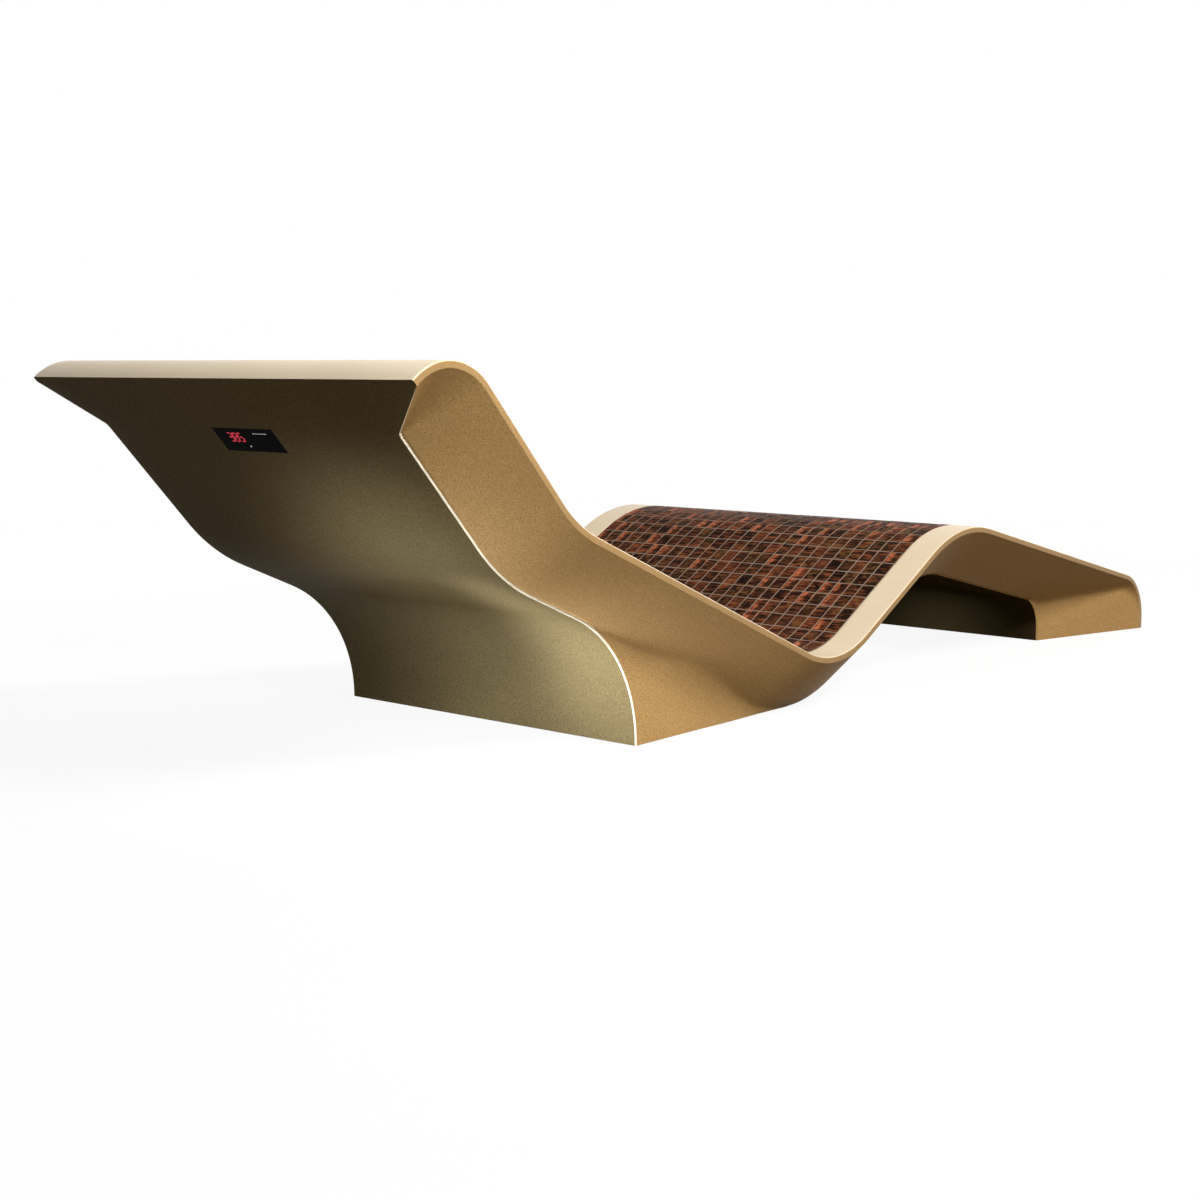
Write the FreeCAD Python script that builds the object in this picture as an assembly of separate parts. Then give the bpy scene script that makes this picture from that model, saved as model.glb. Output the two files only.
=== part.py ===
"""Heated spa relaxation lounger: a wave-shaped slab with inward-sloping sides and a mosaic surface.

Millimetres. X runs from the head end to the foot end, Z is up from the floor, and the origin is
the centre of the footprint on the floor. Side outlines are drawn as lines with tangent arcs. A
point of an outline is a complex number: its real part is X and its imaginary part is Z, and in
the cross-section of a layer they are the distance from the middle (Y) and the depth under the
surface that is lain on.
"""
import FreeCAD, Part
import cmath
import math
import os

# Lying surface, seen from the side: run and rise of each stretch between two bends
BACK_RUN = 215.5
BACK_RISE = 241.0
LUMBAR_RUN = 606.7
LUMBAR_RISE = 260.1
THIGH_RUN = 376.3
THIGH_RISE = 203.5
CALF_RUN = 762.8
CALF_FALL = 174.8
LUMBAR_RADIUS = 185.0
SEAT_RADIUS = 185.0
KNEE_RADIUS = 283.0
FOOT_RADIUS = 100.0

# Body: the slab has one thickness, and the head roll turns about the top edge of the back cover
BODY_THICKNESS = 88.0
FULL_WIDTH = 750.0
INNER_WIDTH = 579.0
RIM_HEIGHT = 9.5
RIM_BEVEL = 2.5
SIDE_SKIN = 5.5
COVER_SHEET = 3.0
BASE_LENGTH = 378.0
BASE_RADIUS = 205.0
FOOT_LENGTH = 297.0
ARCH_RADIUS = 62.0
FLOOR_PLATE = 15.0

# Mosaic field
BORDER_WIDTH = 52.0
FIELD_END_GAP = 50.0
TILE_PITCH_ALONG = 33.0
GROUT_GAP = 2.5
TILE_THICKNESS = 4.0
RECESS_DEPTH = 6.0
GROUT_SINK = 0.6

# Inner frame and warming
RIB_SPACING = 400.0
RIB_THICKNESS = 15.0
TUBE_SIDE = 28.0
TUBE_WALL = 2.0
TUBE_DEPTH = 50.0
TUBE_OVERHANG = 30.0
TUBE_SHARES = (0.13, 0.29, 0.442, 0.56, 0.67, 0.77, 0.86)
MAT_THICKNESS = 1.2
MAT_GAP = 40.0
LINK_WIDTH = 12.0
LINK_SPACING = 200.0
SENSOR_THICKNESS = 3.0
SENSOR_LENGTH = 12.0
SENSOR_WIDTH = 40.0

# Touch display in the back cover
DISPLAY_WIDTH = 120.0
DISPLAY_HEIGHT = 41.0
DISPLAY_DROP = 18.3
DISPLAY_SINK = 0.4
DISPLAY_LEDGE = 5.0
DISPLAY_BOX_DEPTH = 20.0
DISPLAY_WALL = 2.0
GASKET_THICKNESS = 1.0
DISPLAY_BOARD = 1.6
DISPLAY_BOARD_GAP = 8.0

# Power controller on the service hatch in the floor of the base
HATCH_LENGTH = 200.0
HATCH_WIDTH = 270.0
HATCH_PLATE = 6.0
HATCH_SINK = 4.0
HATCH_REBATE = 16.0
HATCH_FROM_REAR = 66.0
CONTROL_MARGIN = 9.0
CONTROL_HEIGHT = 58.0
CONTROL_WALL = 2.5
CONTROL_LID = 3.0
CONTROL_ROOM = 6.0
CONTROL_SHIFT = 8.0
BOARD_THICKNESS = 1.6
BOARD_MARGIN = 8.0
STANDOFF_SIDE = 8.0
STANDOFF_HEIGHT = 8.0
TERMINAL_LENGTH = 20.0
TERMINAL_WIDTH = 90.0
TERMINAL_HEIGHT = 16.0
TRANSFORMER_SIDE = 44.0
TRANSFORMER_HEIGHT = 32.0
GLAND_HEX_RADIUS = 13.0
GLAND_HEX_LENGTH = 20.0
GLAND_THREAD_RADIUS = 8.0
GLAND_NUT_LENGTH = 5.0
GLAND_OFFSET = 60.0
GROMMET_SIDE = 26.0
GROMMET_LIP = 3.0
GROMMET_LIP_HEIGHT = 2.5
GROMMET_SINK = 1.0
GROMMET_FROM_REAR = 38.0
SCREW_HEAD_RADIUS = 4.5
SCREW_HEAD_HEIGHT = 3.0
SCREW_RADIUS = 2.5
SCREW_LENGTH = 9.0
LEAD_SIDE = 6.0
RIBBON_WIDTH = 14.0
RIBBON_THICKNESS = 3.0
LEAD_DEPTH = 14.0
LEAD_BEND_RADIUS = 45.0
LEAD_FROM_REAR = 30.0
LEAD_ENTRY_HEIGHT = 48.0
HEATER_LEAD_OFFSET = 60.0

# Levelling feet, screwed fully in at rest
PAD_RADIUS = 20.0
PAD_HEIGHT = 8.0
POCKET_GAP = 3.0
STUD_RADIUS = 5.0
STUD_SPARE = 2.0
FOOT_TRAVEL = 12.0
SOCKET_SIDE = 60.0
SOCKET_FLANGE = 3.0
SOCKET_HEX_RADIUS = 10.0
SOCKET_HEIGHT = 26.0
FOOT_SPACING = 480.0
REAR_FOOT_INSET = 48.0
TOE_FOOT_INSET = 140.0

# Clearances
FIT = 0.1
RUNNING_GAP = 0.3
CORE_GAP = 0.2
OVERRUN = 5.0
SHORTEST_EDGE = 0.003

BODY_HALF = INNER_WIDTH / 2
FULL_HALF = FULL_WIDTH / 2


class Run:
    """A straight piece of an outline."""

    def __init__(self, start, end):
        self.start = start
        self.length = abs(end - start)
        self.heading = cmath.phase(end - start)

    def at(self, along):
        return self.start + along * cmath.rect(1, self.heading), self.heading

    def part(self, first, last):
        return Run(self.at(first)[0], self.at(last)[0])

    def edge(self, place):
        return Part.LineSegment(place(self.start), place(self.at(self.length)[0])).toShape()

    def sweep(self, face):
        step = self.at(self.length)[0] - self.start
        return face.extrude(FreeCAD.Vector(step.real, 0, step.imag))


class Bend:
    """A tangent arc of an outline. Its turn is positive where it bends to the left, or upwards."""

    def __init__(self, start, heading, radius, turn):
        self.start = start
        self.heading = heading
        self.radius = radius
        self.turn = turn
        self.side = math.copysign(1, turn)
        self.length = radius * abs(turn)
        self.centre = start + self.side * radius * cmath.rect(1, heading + math.pi / 2)

    def at(self, along):
        heading = self.heading + self.side * along / self.radius
        spoke = self.side * self.radius * cmath.rect(1, heading + math.pi / 2)
        return self.centre - spoke, heading

    def part(self, first, last):
        start, heading = self.at(first)
        return Bend(start, heading, self.radius, self.side * (last - first) / self.radius)

    def edge(self, place):
        middle = self.at(self.length / 2)[0]
        end = self.at(self.length)[0]
        return Part.Arc(place(self.start), place(middle), place(end)).toShape()

    def sweep(self, face):
        axis = FreeCAD.Vector(0, -self.side, 0)
        centre = FreeCAD.Vector(self.centre.real, 0, self.centre.imag)
        return face.revolve(centre, axis, math.degrees(abs(self.turn)))


def rounded(points, radii, closed=False):
    """Lines and tangent arcs through the points; radii has one value per corner, 0 for sharp."""
    count = len(points)
    corners = range(count) if closed else range(1, count - 1)
    trims = [0.0] * count
    turns = [0.0] * count
    for i in corners:
        before = cmath.phase(points[i] - points[i - 1])
        after = cmath.phase(points[(i + 1) % count] - points[i])
        turns[i] = math.remainder(after - before, math.tau)
        trims[i] = radii[i] * math.tan(abs(turns[i]) / 2)
    pieces = []
    for i in range(count if closed else count - 1):
        following = (i + 1) % count
        way = points[following] - points[i]
        unit = way / abs(way)
        start = points[i] + trims[i] * unit
        end = points[following] - trims[following] * unit
        if abs(end - start) > SHORTEST_EDGE:
            pieces.append(Run(start, end))
        if trims[following] > 0:
            pieces.append(Bend(end, cmath.phase(way), radii[following], turns[following]))
    return pieces


def polygon(corners):
    """A closed outline with sharp corners."""
    return rounded(corners, [0.0] * len(corners), closed=True)


def stretch(path, first, last):
    """The part of a path between two distances along it."""
    kept = []
    passed = 0.0
    for piece in path:
        low = max(first - passed, 0.0)
        high = min(last - passed, piece.length)
        if high - low > piece.length * 1e-6:
            kept.append(piece.part(low, high))
        passed += piece.length
    return kept


def path_at(path, along):
    """Point and heading at a distance along a path."""
    for piece in path:
        if along <= piece.length:
            return piece.at(along)
        along -= piece.length
    return path[-1].at(path[-1].length)


def length_of(path):
    return sum(piece.length for piece in path)


def meet(point_a, way_a, point_b, way_b):
    """Where two lines of the side view cross."""
    gap = point_b - point_a
    cross = (way_a.conjugate() * way_b).imag
    return point_a + way_a * (gap.conjugate() * way_b).imag / cross


def below(point, way, depth):
    """A point moved square to a line's way, to its right-hand side."""
    return point - 1j * way / abs(way) * depth


def side_place(y):
    """Puts the points of a side outline at one distance from the middle."""
    return lambda point: FreeCAD.Vector(point.real, y, point.imag)


def plan_place(z):
    """Puts the points of an outline seen from above at one height."""
    return lambda point: FreeCAD.Vector(point.real, point.imag, z)


def layer_place(piece):
    """Puts the points of a layer's cross-section square to a path at the start of a piece."""
    down = cmath.rect(1, piece.heading - math.pi / 2)

    def place(point):
        spot = piece.start + point.imag * down
        return FreeCAD.Vector(spot.real, point.real, spot.imag)
    return place


def face_of(pieces, place):
    return Part.Face(Part.Wire([piece.edge(place) for piece in pieces]))


def solid(shape):
    """The shape with its skin facing outwards."""
    if shape.Volume < 0:
        shape.reverse()
    return shape


def joined(shapes):
    if len(shapes) == 1:
        return shapes[0]
    return shapes[0].multiFuse(shapes[1:]).removeSplitter()


def swept(section, path):
    """A layer with one cross-section all along a path."""
    return joined([solid(piece.sweep(face_of(section, layer_place(piece)))) for piece in path])


def rectangle(half_width, top, bottom):
    """Cross-section of a flat layer between two depths."""
    corners = [complex(-half_width, top), complex(half_width, top),
               complex(half_width, bottom), complex(-half_width, bottom)]
    return polygon(corners)


def side_prism(points, radii, low_y, high_y):
    """A side outline, given as corners, between two distances from the middle."""
    face = face_of(rounded(points, radii, closed=True), side_place(low_y))
    return solid(face.extrude(FreeCAD.Vector(0, high_y - low_y, 0)))


def plan_prism(sides, low_z, high_z):
    """An outline seen from above, between two heights."""
    face = face_of(sides, plan_place(low_z))
    return solid(face.extrude(FreeCAD.Vector(0, 0, high_z - low_z)))


def box(centre_x, centre_y, length, width, low_z, high_z):
    """An upright block, placed by its centre."""
    corner = FreeCAD.Vector(centre_x - length / 2, centre_y - width / 2, low_z)
    return Part.makeBox(length, width, high_z - low_z, corner)


def disc(x, y, radius, low_z, high_z):
    """An upright cylinder."""
    return Part.makeCylinder(radius, high_z - low_z, FreeCAD.Vector(x, y, low_z))


def hexagon(radius):
    """Sides of a hexagon about zero, from its corner radius."""
    corners = [cmath.rect(radius, math.radians(60 * side)) for side in range(6)]
    return polygon(corners)


def hexagon_bar(x, y, radius, low_z, high_z):
    """An upright hexagonal bar."""
    bar = plan_prism(hexagon(radius), low_z, high_z)
    bar.translate(FreeCAD.Vector(x, y, 0))
    return bar


def group(shapes):
    """Separate solids kept in one sub-part."""
    found = []
    for shape in shapes:
        found.extend(shape.Solids)
    return Part.makeCompound(found)


class Profile:
    """The side view: corners of the lying surface and of the underside, and their paths."""

    def __init__(self):
        back = complex(BACK_RUN, -BACK_RISE)
        lumbar = complex(LUMBAR_RUN, -LUMBAR_RISE)
        thigh = complex(THIGH_RUN, THIGH_RISE)
        calf = complex(CALF_RUN, -CALF_FALL)
        seat = 0j
        lumbar_corner = seat - lumbar
        knee = seat + thigh
        foot = knee + calf
        roll_corner = lumbar_corner - back
        back_way = back / abs(back)
        tip = roll_corner + BODY_THICKNESS * back_way * -1j
        seat_bend = [p for p in rounded([lumbar_corner, seat, knee], [0.0, SEAT_RADIUS, 0.0])
                     if isinstance(p, Bend)][0]
        lift = BODY_THICKNESS + SEAT_RADIUS - seat_bend.centre.imag
        shift = complex(-(tip.real + foot.real) / 2, lift)
        self.tip = tip + shift
        self.roll_corner = roll_corner + shift
        self.lumbar_corner = lumbar_corner + shift
        self.seat = seat + shift
        self.knee = knee + shift
        self.foot = foot + shift
        self.toe = complex(self.foot.real, 0)
        self.contact_x = (seat_bend.centre + shift).real
        self.base_rear_x = self.contact_x - BASE_LENGTH
        self.foot_inner_x = self.foot.real - FOOT_LENGTH
        self.back_way = back_way
        self.break_corner = self.tip + BODY_THICKNESS * back_way

        self.top_points = [self.tip, self.roll_corner, self.lumbar_corner, self.seat,
                           self.knee, self.foot, self.toe]
        self.top_radii = [0.0, BODY_THICKNESS, LUMBAR_RADIUS, SEAT_RADIUS,
                          KNEE_RADIUS, FOOT_RADIUS, 0.0]
        lumbar_low = below(self.seat, lumbar, BODY_THICKNESS)
        thigh_low = below(self.seat, thigh, BODY_THICKNESS)
        calf_low = below(self.knee, calf, BODY_THICKNESS)
        upright = 1j
        level = 1 + 0j
        self.back_bend = meet(self.tip, back, lumbar_low, lumbar)
        self.base_rear_top = meet(lumbar_low, lumbar, complex(self.base_rear_x, 0), upright)
        self.base_rear = complex(self.base_rear_x, 0)
        self.contact = meet(0j, level, thigh_low, thigh)
        self.arch_knee = meet(thigh_low, thigh, calf_low, calf)
        self.arch_foot = meet(calf_low, calf, complex(self.foot_inner_x, 0), upright)
        self.foot_inner = complex(self.foot_inner_x, 0)
        self.under_bend_radius = LUMBAR_RADIUS + BODY_THICKNESS
        self.contact_radius = SEAT_RADIUS + BODY_THICKNESS
        self.arch_knee_radius = KNEE_RADIUS - BODY_THICKNESS

    def top_path(self):
        return rounded(self.top_points, self.top_radii)

    def back_path(self):
        """Outer face of the back cover, from the head roll down to the floor."""
        points = [self.tip, self.back_bend, self.base_rear_top, self.base_rear]
        return rounded(points, [0.0, self.under_bend_radius, BASE_RADIUS, 0.0])

    def arch_path(self):
        """Outer face of the underside, from the floor at the seat to the floor at the foot block."""
        points = [complex(self.contact_x, 0), self.contact, self.arch_knee, self.arch_foot,
                  self.foot_inner]
        radii = [0.0, self.contact_radius, self.arch_knee_radius, ARCH_RADIUS, 0.0]
        return rounded(points, radii)

    def outline(self):
        """Corners and radii of the whole side view."""
        points = self.top_points + [self.foot_inner, self.arch_foot, self.arch_knee, self.contact,
                                    self.base_rear, self.base_rear_top, self.back_bend]
        radii = self.top_radii + [0.0, ARCH_RADIUS, self.arch_knee_radius, self.contact_radius,
                                  0.0, BASE_RADIUS, self.under_bend_radius]
        return points, radii


def envelope(profile, side_inset):
    """The outer form: a slab with sloping sides, the base block and the tapered foot block."""
    outer = FULL_HALF - side_inset
    inner = BODY_HALF - side_inset
    corners = [complex(-outer, 0), complex(outer, 0), complex(outer, RIM_HEIGHT),
               complex(inner, BODY_THICKNESS), complex(-inner, BODY_THICKNESS),
               complex(-outer, RIM_HEIGHT)]
    section = polygon(corners)
    slab = swept(section, profile.top_path())
    points, radii = profile.outline()
    middle = side_prism(points, radii, -inner, inner)
    whole = side_prism(points, radii, -outer, outer)
    wide_x = profile.foot.real - RIM_HEIGHT
    plan = [complex(profile.foot_inner_x, -inner), complex(wide_x, -outer),
            complex(profile.foot.real, -outer), complex(profile.foot.real, outer),
            complex(wide_x, outer), complex(profile.foot_inner_x, inner)]
    wedge = plan_prism(polygon(plan), 0.0, profile.knee.imag)
    return joined([slab, middle, whole.common(wedge)])


def field_ends(profile):
    """Where the mosaic starts and ends along the lying surface."""
    path = profile.top_path()
    toe_end = length_of(path[-2:])
    return path[0].length + FIELD_END_GAP, length_of(path) - toe_end - FIELD_END_GAP


def seat_shell(profile):
    """Top moulding: the lying surface with its rim band, and the recess for the mosaic."""
    flat_half = FULL_HALF - RIM_BEVEL
    corners = [complex(-flat_half, 0), complex(flat_half, 0), complex(FULL_HALF, RIM_BEVEL),
               complex(FULL_HALF, RIM_HEIGHT), complex(-FULL_HALF, RIM_HEIGHT),
               complex(-FULL_HALF, RIM_BEVEL)]
    section = polygon(corners)
    path = profile.top_path()
    field = stretch(path, *field_ends(profile))
    recess = rectangle(FULL_HALF - BORDER_WIDTH, -OVERRUN, RECESS_DEPTH)
    return swept(section, path).cut(swept(recess, field))


def tile_strips(profile):
    """Every row of the mosaic as one flat strip, with its distance along the surface."""
    path = profile.top_path()
    first, last = field_ends(profile)
    count = round((last - first) / TILE_PITCH_ALONG)
    pitch = (last - first) / count
    half = (pitch - GROUT_GAP) / 2
    section = rectangle(FULL_HALF - BORDER_WIDTH - GROUT_GAP, 0.0, TILE_THICKNESS)
    strips = []
    for row in range(count):
        along = first + (row + 0.5) * pitch
        point, heading = path_at(path, along)
        reach = cmath.rect(half, heading)
        strips.append((along, swept(section, [Run(point - reach, point + reach)])))
    return strips


def mosaic_parts(profile, strips):
    """The rows of each zone of the body, as one sub-part per zone."""
    path = profile.top_path()
    names = ("mosaic_back", "mosaic_seat", "mosaic_thigh", "mosaic_leg")
    ends = [length_of(path[:count]) for count in (3, 5, 6, len(path))]
    parts = {}
    start = 0.0
    for name, end in zip(names, ends):
        parts[name] = group([strip for along, strip in strips if start <= along < end])
        start = end
    return parts


def tile_bed(profile, strips):
    """Adhesive and grout that fill the recess round the tiles."""
    field = stretch(profile.top_path(), *field_ends(profile))
    bed = swept(rectangle(FULL_HALF - BORDER_WIDTH, GROUT_SINK, RECESS_DEPTH), field)
    return bed.cut(group([strip for _, strip in strips]))


def cover(profile, path, outer, shell):
    """Sheet that closes the underside along a path, trimmed to the body."""
    sheet = swept(rectangle(FULL_HALF, -COVER_SHEET, 0.0), path)
    return outer.common(sheet).cut(shell)


def floor_plate(profile, inner, low_x, high_x, neighbours):
    """Plate between the skins at the floor."""
    centre_x = (low_x + high_x) / 2
    block = box(centre_x, 0.0, high_x - low_x, FULL_WIDTH, 0.0, FLOOR_PLATE)
    plate = inner.common(block)
    for neighbour in neighbours:
        plate = plate.cut(neighbour)
    return plate


def heating_mats(profile):
    """Warming foils bonded under the shell between the ribs, and the links from one to the next."""
    path = profile.top_path()
    first, last = field_ends(profile)
    back_end = length_of(path[:3])
    seat_end = length_of(path[:5])
    top = RIM_HEIGHT
    bottom = RIM_HEIGHT + MAT_THICKNESS
    spans = {"heating_mat_back": (first, back_end),
             "heating_mat_seat": (back_end + MAT_GAP, seat_end),
             "heating_mat_leg": (seat_end + MAT_GAP, last)}
    section = rectangle((RIB_SPACING - RIB_THICKNESS) / 2, top, bottom)
    parts = {name: swept(section, stretch(path, *span)) for name, span in spans.items()}
    links = []
    for end in (back_end, seat_end):
        whole = stretch(path, end, end + MAT_GAP)
        for side in (-1, 1):
            centre = side * LINK_SPACING / 2
            half = LINK_WIDTH / 2
            corners = [complex(centre - half, top), complex(centre + half, top),
                       complex(centre + half, bottom), complex(centre - half, bottom)]
            links.append(swept(polygon(corners), whole))
    parts["mat_links"] = group(links)
    return parts


def temperature_sensor(profile):
    """Flat sensor under the seat mat, where a weight on the seat presses most."""
    path = profile.top_path()
    along = (length_of(path[:4]) + length_of(path[:5])) / 2
    point, heading = path_at(path, along)
    reach = cmath.rect(SENSOR_LENGTH / 2, heading)
    top = RIM_HEIGHT + MAT_THICKNESS
    section = rectangle(SENSOR_WIDTH / 2, top, top + SENSOR_THICKNESS)
    return swept(section, [Run(point - reach, point + reach)])


def frame_bars(profile, side, overhang):
    """Square bars through both ribs, in line with the surface at the cross tubes' stations."""
    path = profile.top_path()
    half = RIB_SPACING / 2 + RIB_THICKNESS / 2 + overhang
    section = rectangle(half, TUBE_DEPTH - side / 2, TUBE_DEPTH + side / 2)
    bars = []
    for share in TUBE_SHARES:
        point, heading = path_at(path, share * length_of(path))
        reach = cmath.rect(side / 2, heading)
        bars.append(swept(section, [Run(point - reach, point + reach)]))
    return group(bars)


def display_block(profile, margin, outer_depth, inner_depth):
    """Block square to the back cover, round the middle of the display."""
    middle = profile.break_corner + DISPLAY_DROP * profile.back_way
    reach = (DISPLAY_HEIGHT / 2 + margin) * profile.back_way
    section = rectangle(DISPLAY_WIDTH / 2 + margin, -inner_depth, -outer_depth)
    return swept(section, [Run(middle - reach, middle + reach)])


def display_parts(profile):
    """Black touch glass, gasket, housing and circuit board behind the back cover."""
    seal = COVER_SHEET + GASKET_THICKNESS
    ledge = seal + DISPLAY_BOARD_GAP
    end = seal + DISPLAY_BOX_DEPTH
    inner = DISPLAY_LEDGE - DISPLAY_WALL
    glass = display_block(profile, -FIT, DISPLAY_SINK, COVER_SHEET)
    gasket = display_block(profile, DISPLAY_LEDGE, COVER_SHEET, seal)
    gasket = gasket.cut(display_block(profile, -DISPLAY_LEDGE, 0.0, end))
    housing = display_block(profile, DISPLAY_LEDGE, seal, end)
    housing = housing.cut(display_block(profile, inner, 0.0, ledge + DISPLAY_BOARD))
    housing = housing.cut(display_block(profile, -inner, 0.0, end - DISPLAY_WALL))
    board = display_block(profile, inner - FIT, ledge, ledge + DISPLAY_BOARD)
    return {"display_glass": glass, "display_gasket": gasket,
            "display_housing": housing, "display_board": board}


def hatch_centre_x(profile):
    return profile.base_rear_x + HATCH_FROM_REAR + HATCH_LENGTH / 2


def hatch_screw_spots(profile):
    centre = complex(hatch_centre_x(profile), 0)
    reach_x = HATCH_LENGTH / 2 - HATCH_REBATE / 2
    reach_y = HATCH_WIDTH / 2 - HATCH_REBATE / 2
    return [centre + complex(sx * reach_x, sy * reach_y) for sx in (-1, 1) for sy in (-1, 1)]


def hatch_top():
    return HATCH_SINK + HATCH_PLATE


def hatch_parts(profile):
    """Service hatch under the base and its four screws."""
    centre_x = hatch_centre_x(profile)
    top = hatch_top()
    plate = box(centre_x, 0.0, HATCH_LENGTH, HATCH_WIDTH, HATCH_SINK, top)
    screws = []
    for spot in hatch_screw_spots(profile):
        x, y = spot.real, spot.imag
        screws.append(joined([
            hexagon_bar(x, y, SCREW_HEAD_RADIUS, HATCH_SINK - SCREW_HEAD_HEIGHT, HATCH_SINK),
            disc(x, y, SCREW_RADIUS, HATCH_SINK, HATCH_SINK + SCREW_LENGTH)]))
        plate = plate.cut(disc(x, y, SCREW_RADIUS + FIT, HATCH_SINK, top))
    return {"service_hatch": plate, "hatch_screws": group(screws)}


def hatch_opening(profile):
    """Room in the base plate for the hatch, its rebate and the screws."""
    centre_x = hatch_centre_x(profile)
    top = hatch_top()
    outer = box(centre_x, 0.0, HATCH_LENGTH + 2 * RUNNING_GAP, HATCH_WIDTH + 2 * RUNNING_GAP,
                -OVERRUN, top)
    inner = box(centre_x, 0.0, HATCH_LENGTH - 2 * HATCH_REBATE, HATCH_WIDTH - 2 * HATCH_REBATE,
                top - OVERRUN, FLOOR_PLATE + OVERRUN)
    shanks = [disc(spot.real, spot.imag, SCREW_RADIUS, top - OVERRUN, HATCH_SINK + SCREW_LENGTH)
              for spot in hatch_screw_spots(profile)]
    return joined([outer, inner] + shanks)


def control_x(profile):
    return hatch_centre_x(profile) + CONTROL_SHIFT


def control_length():
    """Length of the controller, which goes through the opening over the hatch."""
    return HATCH_LENGTH - 2 * HATCH_REBATE - 2 * CONTROL_MARGIN


def control_width():
    """Width of the controller, which goes through the opening over the hatch."""
    return HATCH_WIDTH - 2 * HATCH_REBATE - 2 * CONTROL_MARGIN


def along_x(x, y, z, radius, length):
    """A cylinder that lies along X, from x onwards."""
    return Part.makeCylinder(radius, length, FreeCAD.Vector(x, y, z), FreeCAD.Vector(1, 0, 0))


def cable_gland(profile):
    """Inlet gland in the rear wall of the controller, with its lock nut inside."""
    wall_x = control_x(profile) - control_length() / 2
    y = -GLAND_OFFSET
    z = LEAD_ENTRY_HEIGHT
    face = face_of(hexagon(GLAND_HEX_RADIUS),
                   lambda point: FreeCAD.Vector(wall_x, y + point.real, z + point.imag))
    outer_hex = solid(face.extrude(FreeCAD.Vector(-GLAND_HEX_LENGTH, 0, 0)))
    thread = along_x(wall_x, y, z, GLAND_THREAD_RADIUS, CONTROL_WALL + GLAND_NUT_LENGTH)
    nut = solid(face.extrude(FreeCAD.Vector(GLAND_NUT_LENGTH, 0, 0)))
    nut.translate(FreeCAD.Vector(CONTROL_WALL, 0, 0))
    return {"cable_gland": joined([outer_hex, thread]), "gland_nut": nut.cut(thread)}


def control_parts(profile):
    """Power controller on the hatch: tray, lid, board, terminals and transformer."""
    x = control_x(profile)
    length = control_length()
    width = control_width()
    low = hatch_top()
    top = low + CONTROL_HEIGHT
    inner_length = length - 2 * CONTROL_WALL
    inner_width = width - 2 * CONTROL_WALL
    floor = low + CONTROL_WALL
    board_z = floor + STANDOFF_HEIGHT
    tray = box(x, 0.0, length, width, low, top)
    tray = tray.cut(box(x, 0.0, inner_length, inner_width, floor, top + OVERRUN))
    reach_x = inner_length / 2 - BOARD_MARGIN - STANDOFF_SIDE / 2
    reach_y = inner_width / 2 - BOARD_MARGIN - STANDOFF_SIDE / 2
    posts = [box(x + sx * reach_x, sy * reach_y, STANDOFF_SIDE, STANDOFF_SIDE, floor, board_z)
             for sx in (-1, 1) for sy in (-1, 1)]
    wall_x = x - length / 2 - OVERRUN
    through = CONTROL_WALL + 2 * OVERRUN
    gland_hole = along_x(wall_x, -GLAND_OFFSET, LEAD_ENTRY_HEIGHT, GLAND_THREAD_RADIUS, through)
    tray = joined([tray] + posts).cut(gland_hole)
    board_top = board_z + BOARD_THICKNESS
    board = box(x, 0.0, inner_length - 2 * BOARD_MARGIN, inner_width - 2 * BOARD_MARGIN,
                board_z, board_top)
    terminal_x = x - inner_length / 2 + BOARD_MARGIN + TERMINAL_LENGTH
    terminals = box(terminal_x, 0.0, TERMINAL_LENGTH, TERMINAL_WIDTH,
                    board_top, board_top + TERMINAL_HEIGHT)
    transformer_x = x + inner_length / 2 - BOARD_MARGIN - TRANSFORMER_SIDE
    transformer = box(transformer_x, reach_y / 2, TRANSFORMER_SIDE, TRANSFORMER_SIDE,
                      board_top, board_top + TRANSFORMER_HEIGHT)
    lid = box(x, 0.0, length, width, top, top + CONTROL_LID)
    return {"control_tray": tray, "control_lid": lid, "control_board": board,
            "terminal_block": terminals, "transformer": transformer}


def control_room(profile):
    """Hollow in the core and the base plate round the controller and its gland."""
    x = control_x(profile)
    top = hatch_top() + CONTROL_HEIGHT + CONTROL_LID + CONTROL_ROOM
    room = box(hatch_centre_x(profile), 0.0, HATCH_LENGTH - 2 * HATCH_REBATE,
               HATCH_WIDTH - 2 * HATCH_REBATE, FLOOR_PLATE, top)
    return room.fuse(box(x - control_length() / 2, -GLAND_OFFSET, 2 * HATCH_FROM_REAR,
                         2 * GLAND_HEX_RADIUS + CONTROL_ROOM, FLOOR_PLATE, top))


def grommet_block(profile, margin, low_z, high_z):
    """Square block over the cable entry behind the hatch."""
    side = GROMMET_SIDE + 2 * margin
    return box(profile.base_rear_x + GROMMET_FROM_REAR, 0.0, side, side, low_z, high_z)


def grommet(profile):
    """Closed rubber plug in the base plate, to be pierced for the supply cable."""
    plug = grommet_block(profile, 0.0, GROMMET_SINK, FLOOR_PLATE)
    return joined([plug, grommet_lip(profile)])


def grommet_lip(profile):
    """The plug's lip on top of the base plate."""
    return grommet_block(profile, GROMMET_LIP, FLOOR_PLATE, FLOOR_PLATE + GROMMET_LIP_HEIGHT)


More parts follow.
